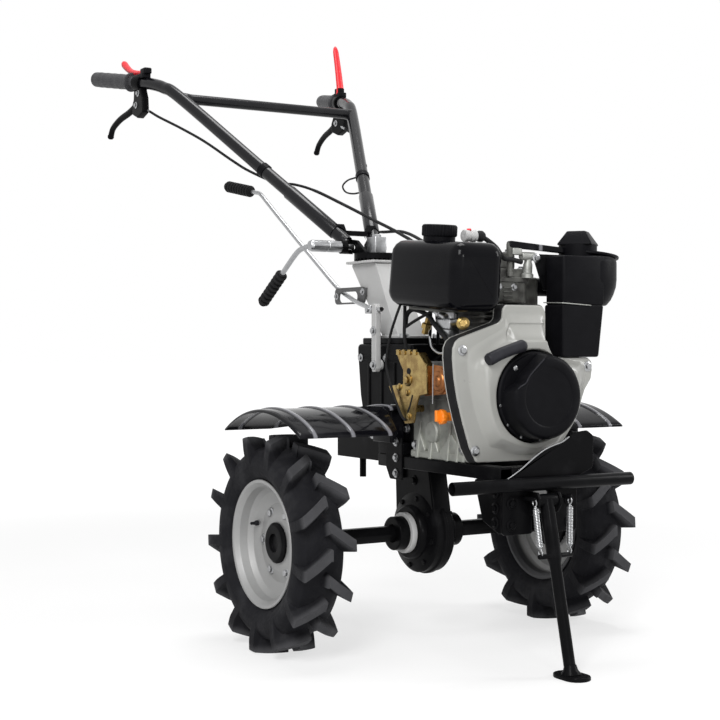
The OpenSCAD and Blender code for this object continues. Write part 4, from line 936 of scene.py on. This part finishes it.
def ribbed(first, way, length, core, fin, pitch, share=0.5):
    """Turned handle with round fins: the radius is core between fins and fin on them, with rounded shoulders."""
    rows = [(core * 0.6, 0), (core, 2)]
    for k in np.arange(6, length - pitch * share, pitch):
        rows += [(core, k), (fin - 1.2, k + 0.3), (fin, k + 1.6), (fin, k + pitch * share - 1.6),
                 (fin - 1.2, k + pitch * share - 0.3), (core, k + pitch * share)]
    rows += [(core, length - 2), (core * 0.7, length), (0.5, length)]
    return turned(rows, first, way, 40)


piece("gear_knob.ribbed", [ribbed(KNOB, (-20, 145, 30), 120, 12.5, 15.5, 12.4, 0.6)], rubber_black, "gear_knob")

# Handlebar swivel: a toothed cast disc on the column's pin, a zinc-plated stirrup over the
# pin, and the transverse clamp: a long zinc nut with a bent lever and a finned rubber grip.
dress("swivel_disc", black)
GRIP_FOOT = (-150, 420, 834)
clamp = [collar([(0.5, 26), (8, 26), (8, 60.3), (13, 60.3), (14, 62), (14, 96), (13, 97.5), (13, 100), (14, 101.5),
                 (14, 140), (11, 147), (0.5, 148)], 1.0, (0, 290, 895), (-1, 0, 0), 40, steps=2),
         rod(curve([(-132, 291, 895), (-138, 300, 895), (-148, 330, 888), (-150, 360, 873), GRIP_FOOT], 12), 6.5,
             (1, 0.2, 0.4), 18)]
clamp.append(box((-16, 202, 876.6), (16, 242, 916), 1.5, 3))
clamp.append(turned([(4, -2), (11, -2), (11, 5), (9, 7), (0.5, 7)], (0, 222, 916), (0, 0, 1), 6))
piece("clamp_lever.zinc", clamp, zinc, "clamp_lever", body="swivel")
piece("clamp_grip.finned", [ribbed(GRIP_FOOT, (0, 111, -73), 132, 10, 15, 15.6, 0.5)], rubber_black,
      "clamp_grip", body="swivel")

# Handlebar: two bent steel tubes with welded lower sleeves on a clamped base, a cross tube
# between them, all in black enamel.
enamel, place = finish("gloss tube enamel", "black_paint", Specular_IOR_Level=0.2, Coat_Roughness=0.08)
haze = grain(place, 20, 5).above(0.5, 0.85)
feed(enamel, Base_Color=haze.mix((0.0055, 0.0055, 0.007, 1), (0.016, 0.016, 0.0175, 1)),
     Roughness=0.16 + 0.14 * grain(place, 26, 5), Coat_Weight=0.12 - 0.08 * haze,
     Normal=relief(grain(place, 90, 2), 0.0005, 0.08))
dress("handle_base", black)
dress("crossbar", enamel)
grip_way = np.array([-17, 64, 11.5]) / np.linalg.norm([17, 64, 11.5])
bend = np.array([-301, 886, 1357.5])
low, high = np.array([-48, 318, 925.0]), np.array([-262, 777, 1306.0])
GRIP = np.array([-318, 950, 1369.0])
ARM = [(-46, 297, 901), (-47, 306, 912), low, (low + high) / 2, high, (-285, 836, 1341), bend, bend + grip_way * 22,
       bend + grip_way * 44, GRIP]
for name, side in (("right", 1), ("left", -1)):
    mirror = np.array([side, 1, 1])
    tube = rod(curve(np.array([np.asarray(p, float) for p in ARM]) * mirror, 12), 16, (1, 0, 0.3), 28)
    sleeve = straight((low + (high - low) * 0.02) * mirror, (low + (high - low) * 0.3) * mirror,
                      [(0, 16.5), (0.004, 18.2), (0.01, 18.5), (0.99, 18.5), (0.996, 18.2), (1, 16.2)], 28)
    weld = straight(high * mirror - (4, 0, 0) * mirror, high * mirror + (26, 0, 0) * mirror,
                    [(0, 12), (0.2, 15.6), (0.7, 15), (1, 13.6)], 24)
    clip = straight((low + (high - low) * 0.44) * mirror, (low + (high - low) * 0.47) * mirror,
                    [(0, 16.4), (0.05, 18.4), (0.95, 18.4), (1, 16.4)], 28)
    piece("handle_arm." + name, [tube, sleeve, weld], enamel, "arm_" + name, body="handlebar")
    piece("cable_clip." + name, [clip], plastic, body="handlebar")

# Grips and levers: moulded rubber grips with a flange, finger bumps below and fine rings; black
# cast levers on split clamps, and two red plastic levers for throttle and clutch.
grip_rubber = coat("grip rubber", "soft_rubber", (40, 4), (0.025, 0.025, 0.028, 1), (0.060, 0.060, 0.064, 1),
                   (0.36, 0.2, 90), (700, 3.0, 0.0004, 0.4), Specular_IOR_Level=0.35)
grips, levers, fixings = [], [], []
for side in (1, -1):
    mirror = np.array([side, 1, 1])
    first, way, mid = GRIP * mirror, grip_way * mirror, -side * 313
    rows = [(16, 0), (16, 18), (22, 18), (25.5, 19.5), (26, 21), (25.5, 22.5), (22, 24), (20.2, 25)]
    k = np.arange(27, 180, 1.5)
    ridges, bumps = np.sin(k * 2 * np.pi / 6) > 0, np.sin((k - 27) / 153 * 5 * 2 * np.pi)
    rows += list(zip(20.2 + 0.5 * ridges + 0.3 * bumps, k))
    rows += [(20, 182), (18, 185), (14, 186), (0.5, 186)]
    grips.append(turned(rows, first, way, 40))
    ring = bend * mirror
    levers.append(collar([(16.3, 34), (22, 34), (22, 62), (16.3, 62)], 1.6, ring, way, 36))
    levers.append(slab([(892, 1282), (930, 1270), (966, 1284), (966, 1308), (956, 1324), (954, 1350), (910, 1350),
                        (896, 1322)], mid - 10, mid + 10, "x", 3, 6))
    blade = curve(np.array([(-313, 930, 1320), (-315, 958, 1306), (-319, 995, 1293), (-325, 1044, 1281),
                            (-330, 1085, 1262), (-331, 1102, 1240)], float) * mirror, 8)
    share = np.linspace(0, 1, len(blade))
    levers.append(rod(blade, np.stack([10.5 - 1.5 * share, 9.0 - 1.5 * np.sin(share * np.pi) - 1.0 * share],
                                      axis=1), (1, 0, 0), 18))
    levers.append(turned([(0.5, 8), (5.5, 7), (8.8, 3), (8.8, -3), (5.5, -7), (0.5, -8)], blade[-1],
                         (0.1, 0.3, -1), 18))
    fixings += bolts([(mid - 10, 938, 1306), (mid - 10, 924, 1336)], (-1, 0, 0), 10)
    fixings += bolts([(mid + 10, 938, 1306)], (1, 0, 0), 10)
    fixings.append(straight((-side * 308, 912, 1294), (-side * 304, 884, 1282),
                            [(0, 5), (0.5, 5), (0.55, 3.6), (1, 3.4)], 12))
piece("grips.rubber", grips, grip_rubber, "grips", body="handlebar", sharp=30)
piece("hand_levers.cast", levers, black, "hand_levers", body="handlebar")
piece("hand_levers.screws", fixings, zinc, body="handlebar")
near = curve([(-311, 904, 1390), (-312, 946, 1395), (-313, 990, 1405), (-313, 1024, 1421), (-313, 1054, 1441)], 14)
share = np.linspace(0, 1, len(near))
tip = np.sqrt(1 - 0.96 * np.clip(share * 7 - 6, 0, 1) ** 2)
far = curve([(313, 930, 1390), (313, 931, 1412), (309, 936, 1467), (304, 944, 1532)], 16)
rise = np.linspace(0, 1, len(far))
point = np.sqrt(1 - 0.96 * np.clip(rise * 9 - 8, 0, 1) ** 2)
paddles = [rod(near, np.stack([6.0 + 4.0 * share, 6.5 + 4.5 * share ** 2], axis=1) * tip[:, None], (0, 0, 1), 20),
           rod(far, np.stack([12.5 - 4.0 * rise, 8.0 - 2.0 * rise], axis=1) * point[:, None], (0, 1, 0), 20)]
piece("red_levers.paddles", paddles, red, "red_levers", body="handlebar")
mount = [box((-323, 890, 1374), (-299, 934, 1388), 2, 4), box((-322, 880, 1384), (-300, 914, 1400), 3, 5),
         box((301, 912, 1380), (325, 950, 1394), 2, 4), box((303, 920, 1392), (323, 948, 1408), 3, 5)]
piece("red_levers.mounts", mount, plastic, body="handlebar")

# Cables: black sheathed steel cables from the hand levers along the arms, through a clip and a
# wider sleeve, and down to the gear box. A thin loop stands off the left one.
right_run = [(-304, 886, 1283), (-296, 840, 1262), (-268, 765, 1226), (-234, 690, 1184), (-196, 610, 1130),
             (-170, 562, 1099), (-118, 515, 1068), (-90, 466, 1060), (-70, 400, 1040), (-50, 300, 1000),
             (-40, 180, 955), (-36, 60, 912), (-38, -16, 876), (-22, -40, 800), (-16, -34, 720), (-16, -30, 660.4)]
left_run = [(304, 886, 1283), (293, 840, 1268), (262, 765, 1256), (228, 690, 1200), (180, 590, 1120),
            (150, 530, 1060), (150, 480, 990), (120, 420, 950), (90, 340, 940), (60, 200, 930), (20, 60, 900),
            (0, -20, 870), (2, -44, 800), (6, -34, 720), (6, -30, 660.4)]
stands_for = ["cables"]
for name, run, first, second, third in (("right", right_run, 7, 9, 11), ("left", left_run, 7, 8, 10)):
    line = curve(run, 10)
    reach = np.where(np.arange(len(line)) < 8 * 10, 3.4, 3.8)
    upper, middle, lower = slice(0, first * 10 + 1), slice(first * 10, second * 10 + 1), slice(second * 10, None)
    piece("cable_upper." + name, [rod(line[upper], reach[upper], (0.4, 0, 1), 12)], rubber_black, *stands_for,
          body="handlebar")
    stands_for = []
    for part, span, a, b, one, two in (("middle", middle, "handlebar", "swivel", run[first], run[second]),
                                       ("lower", lower, "swivel", "chassis", run[second], run[third])):
        cable = piece("cable_%s.%s" % (part, name), [rod(line[span], reach[span], (1, 0.3, 0.2), 12)],
                      rubber_black, body=None)
        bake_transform(cable)

strand = curve([(204, 640, 1160), (188, 592, 1150), (170, 550, 1128), (168, 590, 1108), (168, 640, 1103),
                (168, 668, 1090), (165, 648, 1072), (158, 596, 1062), (151, 534, 1061)], 8)
piece("cable_loop.left", [rod(strand, 2.4, (1, 0.2, 0.1), 10)], rubber_black, body="handlebar")
